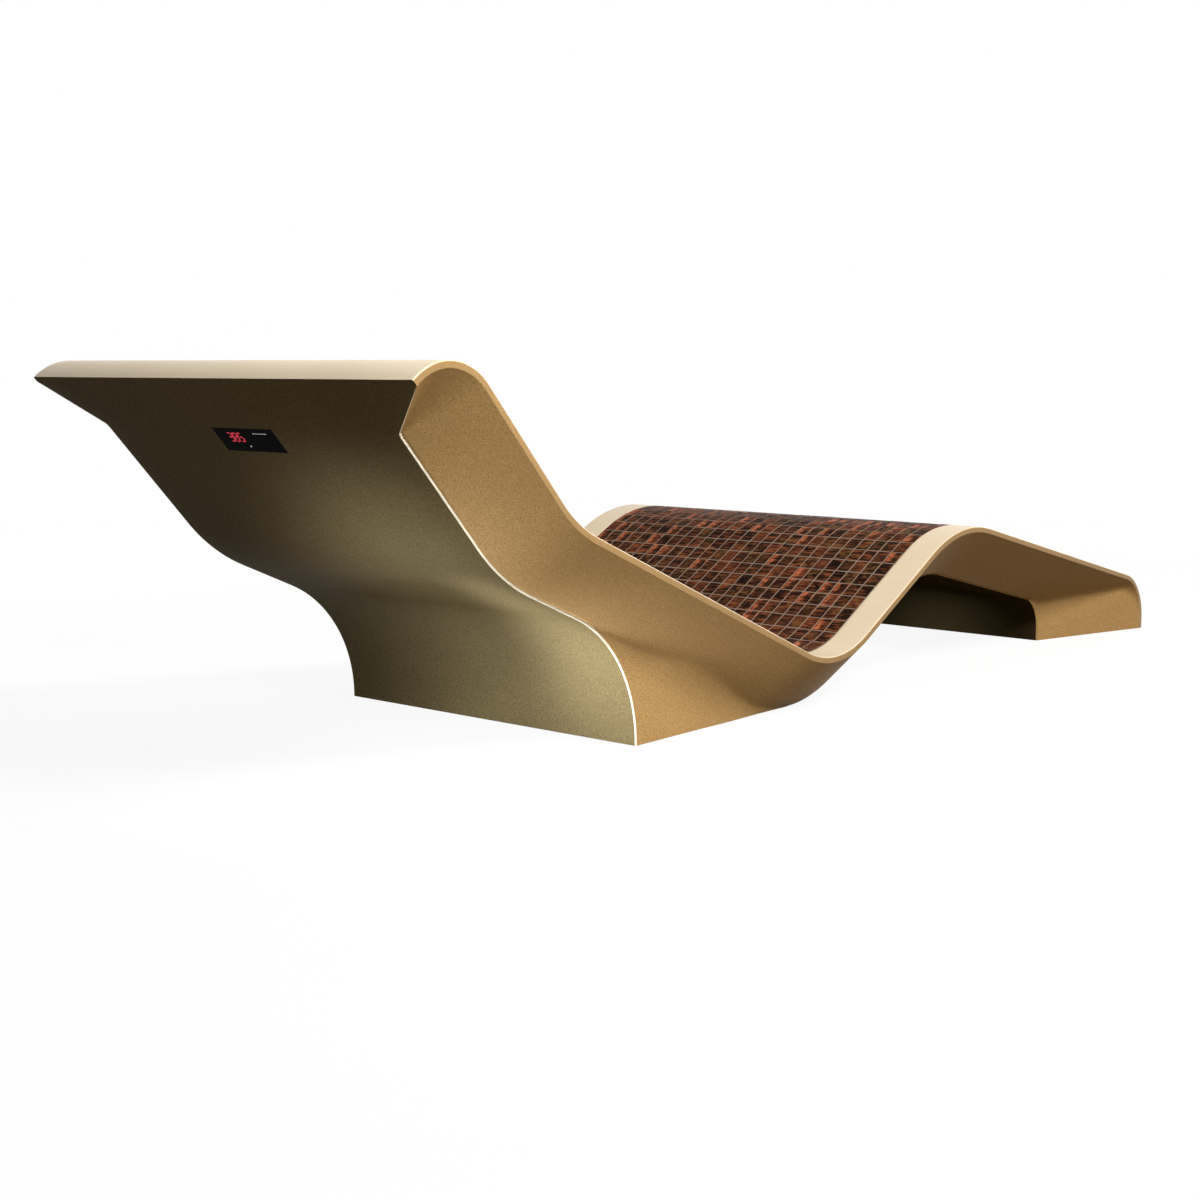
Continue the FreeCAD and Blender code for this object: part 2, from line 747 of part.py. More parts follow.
def lead_path(profile):
    """Route of the display lead: down inside the back cover and forward into the controller."""
    way = profile.back_way
    lumbar = complex(LUMBAR_RUN, -LUMBAR_RISE)
    on_back = below(profile.tip, way, -LEAD_DEPTH)
    on_lumbar = below(profile.base_rear_top, lumbar, -LEAD_DEPTH)
    drop = BODY_THICKNESS + DISPLAY_DROP + DISPLAY_HEIGHT / 2 + DISPLAY_LEDGE
    fall_x = complex(profile.base_rear_x + LEAD_FROM_REAR, 0)
    start = on_back + drop * way
    bend = meet(on_back, way, on_lumbar, lumbar)
    fall = meet(on_lumbar, lumbar, fall_x, 1j)
    low = complex(fall_x.real, LEAD_ENTRY_HEIGHT)
    end = complex(control_x(profile) - control_length() / 2, LEAD_ENTRY_HEIGHT)
    inner_bend = profile.under_bend_radius - LEAD_DEPTH
    return rounded([start, bend, fall, low, end],
                   [0.0, inner_bend, LEAD_BEND_RADIUS, LEAD_BEND_RADIUS, 0.0])


def ribbon(path, gap):
    """A flat cable along a path, or with a gap the groove that it lies in."""
    reach = RIBBON_THICKNESS / 2 + gap
    return swept(rectangle(RIBBON_WIDTH / 2 + gap, -reach, reach), path)


def foot_spots(profile):
    """Places of the levelling feet, by name."""
    stations = {"rear": profile.base_rear_x + REAR_FOOT_INSET,
                "toe": profile.foot_inner_x + TOE_FOOT_INSET}
    sides = {"left": FOOT_SPACING / 2, "right": -FOOT_SPACING / 2}
    return {station + "_" + side: (x, y) for station, x in stations.items()
            for side, y in sides.items()}


def stud_top():
    """Height of a stud's end at rest: screwed right out, it still fills the whole thread."""
    return FLOOR_PLATE + SOCKET_HEIGHT + FOOT_TRAVEL + STUD_SPARE


def foot_pad(x, y):
    """Hexagonal pad that stands on the floor and is turned with a spanner."""
    return hexagon_bar(x, y, PAD_RADIUS, 0.0, PAD_HEIGHT)


def foot_stud(x, y):
    """Threaded stud of one levelling foot, standing on its pad."""
    return disc(x, y, STUD_RADIUS, PAD_HEIGHT, stud_top())


def foot_sockets(profile):
    """Flanged long nuts on the floor plates, one over each levelling foot."""
    sockets = []
    for x, y in foot_spots(profile).values():
        flange = box(x, y, SOCKET_SIDE, SOCKET_SIDE, FLOOR_PLATE, FLOOR_PLATE + SOCKET_FLANGE)
        nut = hexagon_bar(x, y, SOCKET_HEX_RADIUS, FLOOR_PLATE, FLOOR_PLATE + SOCKET_HEIGHT)
        body = joined([flange, nut])
        bore = disc(x, y, STUD_RADIUS + RUNNING_GAP, 0.0, FLOOR_PLATE + SOCKET_HEIGHT + OVERRUN)
        sockets.append(body.cut(bore))
    return group(sockets)


def foot_pockets(profile):
    """Round pockets in the floor plates for the pads."""
    radius = PAD_RADIUS + POCKET_GAP
    return group([disc(x, y, radius, -OVERRUN, FLOOR_PLATE + OVERRUN)
                  for x, y in foot_spots(profile).values()])


def halves(shape):
    """The left (+Y) and right (-Y) parts of a shape."""
    bounds = shape.BoundBox
    size = bounds.DiagonalLength
    left = Part.makeBox(2 * size, size, 2 * size, FreeCAD.Vector(-size, 0, -size))
    right = Part.makeBox(2 * size, size, 2 * size, FreeCAD.Vector(-size, -size, -size))
    return shape.common(left), shape.common(right)


def between(shape, low_x, high_x):
    """The part of a shape between two places along the length."""
    size = shape.BoundBox.DiagonalLength
    corner = FreeCAD.Vector(low_x, -size, -size)
    return shape.common(Part.makeBox(high_x - low_x, 2 * size, 2 * size, corner))


def build():
    """Every sub-part of the lounger, by name."""
    profile = Profile()
    outer = envelope(profile, 0.0)
    inner = envelope(profile, SIDE_SKIN)
    strips = tile_strips(profile)
    parts = {"seat_shell": seat_shell(profile), "tile_bed": tile_bed(profile, strips)}
    parts.update(mosaic_parts(profile, strips))

    full_shell = swept(rectangle(FULL_HALF, 0.0, RIM_HEIGHT), profile.top_path())
    back_cover = cover(profile, profile.back_path(), outer, full_shell)
    arch_cover = cover(profile, profile.arch_path(), outer, full_shell)
    skins = outer.cut(inner).cut(full_shell).cut(back_cover).cut(arch_cover)
    parts["side_skin_left"], parts["side_skin_right"] = halves(skins)

    base_plate = floor_plate(profile, inner, profile.base_rear_x, profile.contact_x,
                             [back_cover, arch_cover])
    foot_plate = floor_plate(profile, inner, profile.foot_inner_x, profile.foot.real,
                             [full_shell, arch_cover])
    room = inner.cut(full_shell).cut(back_cover).cut(arch_cover).cut(base_plate).cut(foot_plate)
    pockets = foot_pockets(profile)
    grommet_hole = grommet_block(profile, 0.0, -OVERRUN, FLOOR_PLATE + OVERRUN)
    parts["back_cover"] = back_cover.cut(display_block(profile, 0.0, -OVERRUN, COVER_SHEET + OVERRUN))
    parts["arch_cover"] = arch_cover
    parts["base_plate"] = base_plate.cut(hatch_opening(profile)).cut(pockets).cut(grommet_hole)
    parts["foot_plate"] = foot_plate.cut(pockets)

    mats = heating_mats(profile)
    parts.update(mats)
    parts["temperature_sensor"] = temperature_sensor(profile)
    warm_layer = group(list(mats.values()))
    room = room.cut(warm_layer)
    bars = frame_bars(profile, TUBE_SIDE, TUBE_OVERHANG)
    bores = frame_bars(profile, TUBE_SIDE - 2 * TUBE_WALL, TUBE_OVERHANG + OVERRUN)
    parts["cross_tubes"] = bars.cut(bores)
    room = room.cut(bars)

    points, radii = profile.outline()
    core_half = (RIB_SPACING - RIB_THICKNESS) / 2
    rib_half = core_half + RIB_THICKNESS
    parts["rib_left"] = room.common(side_prism(points, radii, core_half, rib_half))
    parts["rib_right"] = room.common(side_prism(points, radii, -rib_half, -core_half))
    cores = room.common(side_prism(points, radii, -core_half, core_half))

    parts.update(display_parts(profile))
    parts.update(hatch_parts(profile))
    parts.update(control_parts(profile))
    parts.update(cable_gland(profile))
    parts["cable_grommet"] = grommet(profile)
    route = lead_path(profile)
    parts["display_lead"] = ribbon(route, 0.0)
    lid_top = hatch_top() + CONTROL_HEIGHT + CONTROL_LID
    riser = box(control_x(profile), HEATER_LEAD_OFFSET, LEAD_SIDE, LEAD_SIDE, lid_top,
                profile.knee.imag)
    parts["heater_lead"] = inner.cut(full_shell).cut(warm_layer).common(riser)
    parts["foot_sockets"] = foot_sockets(profile)

    display_room = display_block(profile, DISPLAY_LEDGE, COVER_SHEET,
                                 COVER_SHEET + GASKET_THICKNESS + DISPLAY_BOX_DEPTH)
    hollows = [control_room(profile), display_room, grommet_lip(profile),
               ribbon(route, CORE_GAP), parts["temperature_sensor"], riser]
    for hollow in hollows:
        cores = cores.cut(hollow)
    cuts = [profile.tip.real, profile.base_rear_x, profile.contact_x, profile.foot_inner_x,
            profile.foot.real]
    names = ("core_back", "core_base", "core_leg", "core_foot")
    for name, low_x, high_x in zip(names, cuts, cuts[1:]):
        parts[name] = group([between(cores, low_x, high_x)])

    for name, (x, y) in foot_spots(profile).items():
        parts["foot_pad_" + name] = foot_pad(x, y)
        parts["foot_stud_" + name] = foot_stud(x, y)
    return parts


def main():
    os.makedirs("parts", exist_ok=True)
    for name, shape in build().items():
        shape.exportStep("parts/" + name + ".step")
        print(name, len(shape.Solids), round(shape.Volume), shape.isValid())


if __name__ == "__main__":
    main()
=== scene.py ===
"""Looks of a heated relaxation lounger: gold coated body, mosaic lying surface, touch display.

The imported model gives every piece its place. The outer pieces are made again here as smooth meshes
from the same side view, in metres, and the inner pieces keep their solids and get finishes.
"""
import cmath
import logging
import math
import random
from collections.abc import Callable
from dataclasses import dataclass, field
from enum import Enum

import bmesh
import bpy
from mathutils import Euler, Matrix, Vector


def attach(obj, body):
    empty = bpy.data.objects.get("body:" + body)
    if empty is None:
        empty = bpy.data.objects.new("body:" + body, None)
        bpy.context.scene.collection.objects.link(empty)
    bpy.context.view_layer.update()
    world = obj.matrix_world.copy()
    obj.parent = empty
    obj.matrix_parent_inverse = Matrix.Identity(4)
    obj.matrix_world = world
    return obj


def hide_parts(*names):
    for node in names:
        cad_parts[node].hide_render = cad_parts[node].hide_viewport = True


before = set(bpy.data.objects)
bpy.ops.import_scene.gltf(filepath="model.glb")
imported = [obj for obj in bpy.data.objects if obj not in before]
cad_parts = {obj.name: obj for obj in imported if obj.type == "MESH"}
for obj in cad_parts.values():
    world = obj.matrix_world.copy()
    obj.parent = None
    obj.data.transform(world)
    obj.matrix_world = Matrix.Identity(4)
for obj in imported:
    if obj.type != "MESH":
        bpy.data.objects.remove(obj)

log = logging.getLogger("lounger")
BODY = "frame"
Ring = list[Vector]
Pair = tuple[float, float]
Triple = tuple[float, float, float]
Rgba = tuple[float, float, float, float]
Stroke = tuple[float, float, float, float]
Band = tuple[float, float, float, float]
Mesh = bmesh.types.BMesh
Piece = bpy.types.Object
Material = bpy.types.Material
Tree = bpy.types.NodeTree
Node = bpy.types.Node
Socket = bpy.types.NodeSocket
Feeds = dict[str | int, object]

TINY = 1e-6  # lengths below this count as zero
END_SHARE = 9  # a joint nearer to an end than a step over this gets no stop of its own
PAST_WEIGHT = 3.0  # how much more a distance past a segment's end counts than one beside it
WHITE = (1.0, 1.0, 1.0, 1.0)
NOISE_SPAN = (0.3, 0.7)  # the range that most noise values lie in


class Side(Enum):
    """The two sides of the lounger, as seen by a person lying on it."""

    LEFT = 1
    RIGHT = -1


# Side view


@dataclass(frozen=True)
class Segment:
    """A straight piece or an arc of a side outline; the curvature is positive to the left."""

    start: complex
    heading: float
    length: float
    curvature: float = 0.0

    @property
    def circle(self) -> tuple[complex, float]:
        """Centre and signed radius of an arc."""
        radius = 1.0 / self.curvature
        return self.start + 1j * cmath.rect(1.0, self.heading) * radius, radius

    def at(self, along: float) -> tuple[complex, float]:
        """Point and heading at a distance along the segment.

        Args:
            along: distance from its start.

        Returns:
            The point and the heading there.
        """
        if self.curvature == 0.0:
            return self.start + cmath.rect(along, self.heading), self.heading
        heading = self.heading + along * self.curvature
        centre, radius = self.circle
        return centre - 1j * cmath.rect(1.0, heading) * radius, heading

    def depth_of(self, point: complex) -> Pair:
        """How far a point lies to the right of the segment.

        Args:
            point: a point of the side view.

        Returns:
            The depth, and how far the point lies past the nearer end, zero when beside the segment.
        """
        if self.curvature == 0.0:
            offset = (point - self.start) * cmath.rect(1.0, -self.heading)
            along, depth = offset.real, -offset.imag
        else:
            centre, radius = self.circle
            along = cmath.phase((point - centre) / (self.start - centre)) / self.curvature
            depth = (abs(point - centre) - abs(radius)) * math.copysign(1.0, radius)
        return depth, max(-along, along - self.length, 0.0)


@dataclass(frozen=True)
class Track:
    """A side outline made of segments that follow each other."""

    segments: tuple[Segment, ...]

    @property
    def length(self) -> float:
        """Length of the whole outline."""
        return sum(segment.length for segment in self.segments)

    def at(self, along: float) -> tuple[complex, float]:
        """Point and heading at a distance along the outline.

        Args:
            along: distance from the outline's start.

        Returns:
            The point and the heading there.
        """
        for segment in self.segments:
            if along <= segment.length:
                return segment.at(along)
            along -= segment.length
        last = self.segments[-1]
        return last.at(last.length)

    def inside(self, along: float, depth: float) -> complex:
        """The point at a depth to the right of the outline."""
        point, heading = self.at(along)
        return point - 1j * cmath.rect(depth, heading)

    def joints(self) -> list[float]:
        """Distances along the outline at which one segment gives way to the next.

        Returns:
            The distances, with both ends.
        """
        marks = [0.0]
        for segment in self.segments:
            marks.append(marks[-1] + segment.length)
        return marks

    def stops(self, low: float, high: float, step: float) -> list[float]:
        """Evenly spread distances between two places, which include every joint between them.

        Args:
            low: first distance.
            high: last distance.
            step: widest gap between two stops.

        Returns:
            The distances in order, with both ends.
        """
        slack = step / END_SHARE
        marks = [low] + [mark for mark in self.joints() if low + slack < mark < high - slack]
        marks.append(high)
        found = [low]
        for first, second in zip(marks, marks[1:]):
            count = max(1, math.ceil((second - first) / step))
            found += [first + (second - first) * (k + 1) / count for k in range(count)]
        return found

    def depth_of(self, point: complex) -> float:
        """Depth of a point to the right of the outline."""
        options = [segment.depth_of(point) for segment in self.segments]
        return min(options, key=lambda option: math.hypot(option[0], PAST_WEIGHT * option[1]))[0]


def track_through(corners: list[complex], radii: list[float]) -> Track:
    """Lines and tangent arcs through corners.

    Args:
        corners: corner points of an open outline.
        radii: one value per corner; the ends aren't used.

    Returns:
        The outline.
    """
    count = len(corners)
    trims, turns = [0.0] * count, [0.0] * count
    for i in range(1, count - 1):
        before = cmath.phase(corners[i] - corners[i - 1])
        after = cmath.phase(corners[i + 1] - corners[i])
        turns[i] = math.remainder(after - before, math.tau)
        trims[i] = radii[i] * math.tan(abs(turns[i]) / 2)
    segments = []
    for i in range(count - 1):
        way = corners[i + 1] - corners[i]
        unit = way / abs(way)
        start = corners[i] + trims[i] * unit
        end = corners[i + 1] - trims[i + 1] * unit
        if abs(end - start) > TINY:
            segments.append(Segment(start, cmath.phase(way), abs(end - start)))
        if trims[i + 1] > 0.0:
            radius = radii[i + 1]
            curvature = math.copysign(1.0 / radius, turns[i + 1])
            segments.append(Segment(end, cmath.phase(way), radius * abs(turns[i + 1]), curvature))
    return Track(tuple(segments))


def crossing(point_a: complex, way_a: complex, point_b: complex, way_b: complex) -> complex:
    """Where two lines of the side view cross."""
    gap = point_b - point_a
    return point_a + way_a * (gap.conjugate() * way_b).imag / (way_a.conjugate() * way_b).imag


def ease(value: float) -> float:
    """Smooth step from 0 to 1."""
    value = min(max(value, 0.0), 1.0)
    return value * value * (3.0 - 2.0 * value)


def soft_max(a: float, b: float, blend: float) -> float:
    """The larger of two values, rounded over where they are nearly equal.

    Args:
        a: one value.
        b: the other value.
        blend: difference below which the result is rounded over.

    Returns:
        The larger value, and a little more near a tie.
    """
    if blend <= 0.0:
        return max(a, b)
    reach = max(blend - abs(a - b), 0.0) / blend
    return max(a, b) + reach * reach * blend / 4.0


@dataclass
class BodyForm:
    """Driving sizes of the body, the same as in the part's source, and its outlines."""

    back_run: float = 0.2155
    back_rise: float = 0.241
    lumbar_run: float = 0.6067
    lumbar_rise: float = 0.2601
    thigh_run: float = 0.3763
    thigh_rise: float = 0.2035
    calf_run: float = 0.7628
    calf_fall: float = 0.1748
    lumbar_radius: float = 0.185
    seat_radius: float = 0.185
    knee_radius: float = 0.283
    foot_radius: float = 0.1
    thickness: float = 0.088
    full_half: float = 0.375
    inner_half: float = 0.2895
    rim: float = 0.0095
    sheet: float = 0.003
    base_length: float = 0.378
    base_radius: float = 0.205
    foot_length: float = 0.297
    arch_radius: float = 0.062
    field_end_gap: float = 0.05
    border: float = 0.052
    recess: float = 0.006
    base_flare: float = 0.017
    flare_depth: float = 0.085
    flare_rise: float = 0.33
    flare_end: float = 0.75
    flare_fall: float = 0.42
    base_blend: float = 0.004
    foot_blend: float = 0.006
    foot_blend_rate: float = 12.0
    top: Track = field(init=False)
    back: Track = field(init=False)
    arch: Track = field(init=False)

    def __post_init__(self) -> None:
        """Work out the corners and the three outlines."""
        back = complex(self.back_run, -self.back_rise)
        lumbar = complex(self.lumbar_run, -self.lumbar_rise)
        thigh = complex(self.thigh_run, self.thigh_rise)
        calf = complex(self.calf_run, -self.calf_fall)
        back_way = back / abs(back)
        roll = -lumbar - back
        tip = roll - 1j * self.thickness * back_way
        toe = thigh + calf
        bend = track_through([-lumbar, 0j, thigh], [0.0, self.seat_radius, 0.0]).segments[1]
        bend_centre = bend.start + 1j * cmath.rect(self.seat_radius, bend.heading)
        lift = self.thickness + self.seat_radius - bend_centre.imag
        shift = complex(-(tip.real + toe.real) / 2, lift)
        self.tip = tip + shift
        self.break_corner = self.tip + self.thickness * back_way
        self.back_way = back_way
        self.foot_x = (toe + shift).real
        self.contact_x = (bend_centre + shift).real
        self.base_rear_x = self.contact_x - self.base_length
        self.foot_inner_x = self.foot_x - self.foot_length
        seat, knee, foot = shift, thigh + shift, toe + shift
        self.top = track_through(
            [self.tip, roll + shift, shift - lumbar, seat, knee, foot, complex(self.foot_x, 0)],
            [0.0, self.thickness, self.lumbar_radius, self.seat_radius, self.knee_radius,
             self.foot_radius, 0.0])
        under_lumbar = seat - 1j * lumbar / abs(lumbar) * self.thickness
        under_thigh = seat - 1j * thigh / abs(thigh) * self.thickness
        under_calf = knee - 1j * calf / abs(calf) * self.thickness
        base_rear, foot_inner = complex(self.base_rear_x, 0), complex(self.foot_inner_x, 0)
        self.back = track_through(
            [self.tip, crossing(self.tip, back, under_lumbar, lumbar),
             crossing(under_lumbar, lumbar, base_rear, 1j), base_rear],
            [0.0, self.lumbar_radius + self.thickness, self.base_radius, 0.0])
        self.arch = track_through(
            [complex(self.contact_x, 0), crossing(0j, 1 + 0j, under_thigh, thigh),
             crossing(under_thigh, thigh, under_calf, calf),
             crossing(under_calf, calf, foot_inner, 1j), foot_inner],
            [0.0, self.seat_radius + self.thickness, self.knee_radius - self.thickness,
             self.arch_radius, 0.0])
        self.side_slope = (self.full_half - self.inner_half) / (self.thickness - self.rim)

    @property
    def field_half(self) -> float:
        """Half the width of the mosaic."""
        return self.full_half - self.border

    @property
    def field_ends(self) -> Pair:
        """Where the mosaic starts and ends along the lying surface."""
        marks = self.top.joints()
        return marks[1] + self.field_end_gap, marks[-3] - self.field_end_gap

    def half_width(self, point: complex) -> float:
        """Half the width of the body at a point of the side view.

        Args:
            point: a point of the side view.

        Returns:
            Half the width.
        """
        depth = self.top.depth_of(point)
        slab = self.full_half - max(depth - self.rim, 0.0) * self.side_slope
        if point.real > self.foot_inner_x:
            reach = (point.real - self.foot_inner_x) / (self.foot_length - self.rim)
            block = self.inner_half + reach * (self.full_half - self.inner_half)
            blend = self.foot_blend * ease(reach * self.foot_blend_rate)
            return min(soft_max(slab, block, blend), self.full_half)
        if point.real < self.contact_x:
            share = (point.real - self.base_rear_x) / self.base_length
            rise, fall = share / self.flare_rise, (self.flare_end - share) / self.flare_fall
            flare = self.base_flare * ease(rise) * ease(fall)
            crease = self.thickness - flare / self.side_slope
            below = min(max(depth - crease, 0.0) / self.flare_depth, 1.0)
            return soft_max(slab, self.inner_half + flare * (1.0 - below) ** 2, self.base_blend)
        return max(slab, self.inner_half)


# Mesh tools


def add_object(name: str, data: bpy.types.ID) -> Piece:
    """Put a mesh, lamp or camera in the scene.

    Args:
        name: object name.
        data: what it shows.

    Returns:
        The new object.
    """
    piece = bpy.data.objects.new(name, data)
    bpy.context.scene.collection.objects.link(piece)
    return piece


def aimed(way: Vector) -> Euler:
    """How a lamp or camera that looks a given way is turned."""
    return way.to_track_quat("-Z", "Y").to_euler()


def finish_mesh(name: str, mesh_data: Mesh, crease_deg: float = 30.0) -> Piece:
    """Turn a bmesh into a smooth shaded object.

    Args:
        name: object name.
        mesh_data: the geometry, freed here.
        crease_deg: edges that turn more than this stay sharp.

    Returns:
        The new object, linked to the scene.
    """
    bmesh.ops.remove_doubles(mesh_data, verts=mesh_data.verts, dist=TINY)
    bmesh.ops.recalc_face_normals(mesh_data, faces=mesh_data.faces)
    mesh = bpy.data.meshes.new(name)
    mesh_data.to_mesh(mesh)
    mesh_data.free()
    mesh.shade_smooth()
    mesh.set_sharp_from_angle(angle=math.radians(crease_deg))
    return add_object(name, mesh)


def ring_mesh(rings: list[Ring], trim: frozenset[int] = frozenset()) -> Mesh:
    """A closed skin through rings with equal numbers of points, with a face over each end.

    Args:
        rings: the cross-sections in order.
        trim: places in the ring whose faces take the second finish.

    Returns:
        The geometry.
    """
    built = bmesh.new()
    rows = [[built.verts.new(point) for point in ring] for ring in rings]
    for first, second in zip(rows, rows[1:]):
        for k in range(len(first)):
            after = (k + 1) % len(first)
            face = built.faces.new((first[k], first[after], second[after], second[k]))
            face.material_index = 1 if k in trim else 0
    built.faces.new(rows[0])
    built.faces.new(list(reversed(rows[-1])))
    return built


def add_block(built: Mesh, loops: list[Ring]) -> list[bmesh.types.BMFace]:
    """Add a closed block through loops of four points.

    Args:
        built: the geometry that takes it.
        loops: the loops from its bottom to its top.

    Returns:
        The faces: bottom, top, then the walls.
    """
    rows = [[built.verts.new(point) for point in loop] for loop in loops]
    faces = [built.faces.new(rows[0]), built.faces.new(list(reversed(rows[-1])))]
    for low, high in zip(rows, rows[1:]):
        for k in range(4):
            after = (k + 1) % 4
            faces.append(built.faces.new((low[k], high[k], high[after], low[after])))
    return faces


def cut_window(built: Mesh, inside: Callable[[Vector], bool]) -> None:
    """Cut a hole through a thin sheet where its faces' middles lie inside, and wall it round.

    Args:
        built: the sheet, changed here.
        inside: whether a point lies in the window.
    """
    gone = [face for face in built.faces if inside(face.calc_center_median())]
    bmesh.ops.delete(built, geom=gone, context="FACES")
    rim = [edge for edge in built.edges if edge.is_boundary]
    bmesh.ops.bridge_loops(built, edges=rim)


def spot(point: complex, y: float) -> Vector:
    """A point of the side view at a distance from the middle."""
    return Vector((point.real, y, point.imag))


def places_across(half: float, count: int) -> list[float]:
    """Even places from one side to the other."""
    return [half * (1 - 2 * k / count) for k in range(count + 1)]


def rectangle(a: float, b: float) -> tuple[Pair, Pair, Pair, Pair]:
    """Corners of a rectangle from half its sides."""
    return (-a, -b), (a, -b), (a, b), (-a, b)


def other_side(half: list[Pair]) -> list[Pair]:
    """A half cross-section on the other side, from the middle outwards."""
    return [(-y, down) for y, down in reversed(half)]


def quarter(radius: float, steps: int) -> list[Pair]:
    """Insets of a rounded edge: from a side face to the top face it turns into."""
    turns = [math.pi / 2 * k / steps for k in range(steps + 1)]
    return [(radius * (1 - math.sin(t)), radius * (1 - math.cos(t))) for t in turns][::-1]


# Shader tools


@dataclass
class Board:
    """A node tree with short ways to add and join nodes."""

    tree: Tree

    def add(self, kind: str, feeds: Feeds | None = None, **settings: object) -> Node:
        """Add a node.

        Args:
            kind: the node's type.
            feeds: what its inputs take.
            settings: its properties.

        Returns:
            The node.
        """
        node = self.tree.nodes.new(kind)
        for key, value in settings.items():
            setattr(node, key, value)
        self.fill(node, feeds or {})
        return node

    def fill(self, node: Node, feeds: Feeds) -> None:
        """Link sockets to a node's inputs, or set constants on them.

        Args:
            node: the node.
            feeds: a socket or a constant for each input.
        """
        for label, value in feeds.items():
            if isinstance(value, Socket):
                self.tree.links.new(value, node.inputs[label])
            else:
                node.inputs[label].default_value = value

    def here(self) -> Socket:
        """Object coordinates."""
        return self.add("ShaderNodeTexCoord").outputs["Object"]

    def stretched(self, vector: Socket, scale: Triple) -> Socket:
        """Coordinates with their own scale along each axis."""
        return self.add("ShaderNodeMapping", {"Vector": vector, "Scale": scale}).outputs["Vector"]

    def math(self, operation: str, a: object, b: object = 0.0, clamp: bool = False) -> Socket:
        """A Math node's result."""
        node = self.add("ShaderNodeMath", {0: a, 1: b}, operation=operation, use_clamp=clamp)
        return node.outputs[0]

    def noise(self, vector: Socket, scale: object, detail: float = 3.0,
              rough: float = 0.5) -> Socket:
        """Noise value at a scale."""
        feeds = {"Vector": vector, "Scale": scale, "Detail": detail, "Roughness": rough}
        return self.add("ShaderNodeTexNoise", feeds).outputs["Fac"]

    def blend(self, factor: object, a: object, b: object, mode: str = "MIX") -> Socket:
        """A colour mix's result."""
        feeds = {"Factor": factor, "A": a, "B": b}
        return self.add("ShaderNodeMix", feeds, data_type="RGBA", blend_type=mode).outputs["Result"]

    def shaded(self, color: Socket, light: Socket) -> Socket:
        """A colour made lighter or darker by a value."""
        grey = self.add("ShaderNodeCombineColor", dict.fromkeys(("Red", "Green", "Blue"), light))
        return self.blend(1.0, color, grey.outputs["Color"], "MULTIPLY")

    def band(self, value: object, low: float, high: float, to_low: float, to_high: float) -> Socket:
        """A value taken from one range to another, clamped.

        Args:
            value: the value.
            low: start of its range.
            high: end of its range.
            to_low: what the start becomes.
            to_high: what the end becomes.

        Returns:
            The new value.
        """
        feeds = {"Value": value, "From Min": low, "From Max": high, "To Min": to_low,
                 "To Max": to_high}
        return self.add("ShaderNodeMapRange", feeds, clamp=True).outputs["Result"]

    def sheen(self, value: Socket, span: Pair, roughness: float, reach: float) -> Socket:
        """A roughness that falls by a reach on both sides while a value rises."""
        return self.band(value, *span, roughness + reach, roughness - reach)

    def bump(self, height: Socket, strength: float, distance: float) -> Socket:
        """A normal that follows a height."""
        feeds = {"Strength": strength, "Distance": distance, "Height": height}
        return self.add("ShaderNodeBump", feeds).outputs["Normal"]

    def mixed(self, factor: Socket, a: Socket, b: Socket) -> Socket:
        """Two shaders mixed."""
        return self.add("ShaderNodeMixShader", {"Fac": factor, 1: a, 2: b}).outputs["Shader"]


def rgba(red: float, green: float, blue: float) -> Rgba:
    """A colour as the linear values that sockets take.

    Args:
        red: sRGB share of 255.
        green: sRGB share of 255.
        blue: sRGB share of 255.

    Returns:
        The colour, opaque.
    """
    linear = (((c / 255 + 0.055) / 1.055) ** 2.4 if c > 10 else c / 255 / 12.92
              for c in (red, green, blue))
    return (*linear, 1.0)


def new_group(name: str, inputs: dict[str, float],
              outputs: tuple[str, ...]) -> tuple[Board, Node, Node]:
    """Start a shader node group with float sockets.

    Args:
        name: group name.
        inputs: input names with their defaults.
        outputs: output names.

    Returns:
        The board of the group, its input node and its output node.
    """
    tree = bpy.data.node_groups.new(name, "ShaderNodeTree")
    kind = "NodeSocketFloat"
    for label, value in inputs.items():
        tree.interface.new_socket(label, in_out="INPUT", socket_type=kind).default_value = value
    for label in outputs:
        tree.interface.new_socket(label, in_out="OUTPUT", socket_type=kind)
    board = Board(tree)
    return board, board.add("NodeGroupInput"), board.add("NodeGroupOutput")


def speckle_group() -> Tree:
    """Fine grain of a metallic coat: a tone value and a height, by object coordinates.

    Returns:
        The group.
    """
    fine_share, flake_share, flake_scale, scatter = 0.7, 0.3, 1.9, 7.3
    inputs, outputs = {"Grain": 420.0, "Contrast": 1.0}, ("Tone", "Height")
    board, given, out = new_group("MetallicSpeckle", inputs, outputs)
    place, grain = board.here(), given.outputs["Grain"]
    fine = board.noise(place, grain, 2.0)
    feeds = {"Vector": place, "Scale": board.math("MULTIPLY", grain, flake_scale)}
    flakes = board.add("ShaderNodeTexVoronoi", feeds, feature="F1")
    flake = board.math("FRACT", board.math("MULTIPLY", flakes.outputs["Color"], scatter))
    tone = board.math("ADD", board.math("MULTIPLY", fine, fine_share),
                      board.math("MULTIPLY", flake, flake_share))
    spread = board.math("MULTIPLY", board.math("SUBTRACT", tone, 0.5), given.outputs["Contrast"])
    board.fill(out, {"Tone": board.math("ADD", spread, 0.5, clamp=True), "Height": fine})
    return board.tree


def mottle_group() -> Tree:
    """Broad, faint cloudiness of a coated or moulded surface, from 0 to 1.

    Returns:
        The group.
    """
    board, given, out = new_group("BroadMottle", {"Scale": 6.0}, ("Value",))
    board.fill(out, {"Value": board.noise(board.here(), given.outputs["Scale"], 4.0)})
    return board.tree


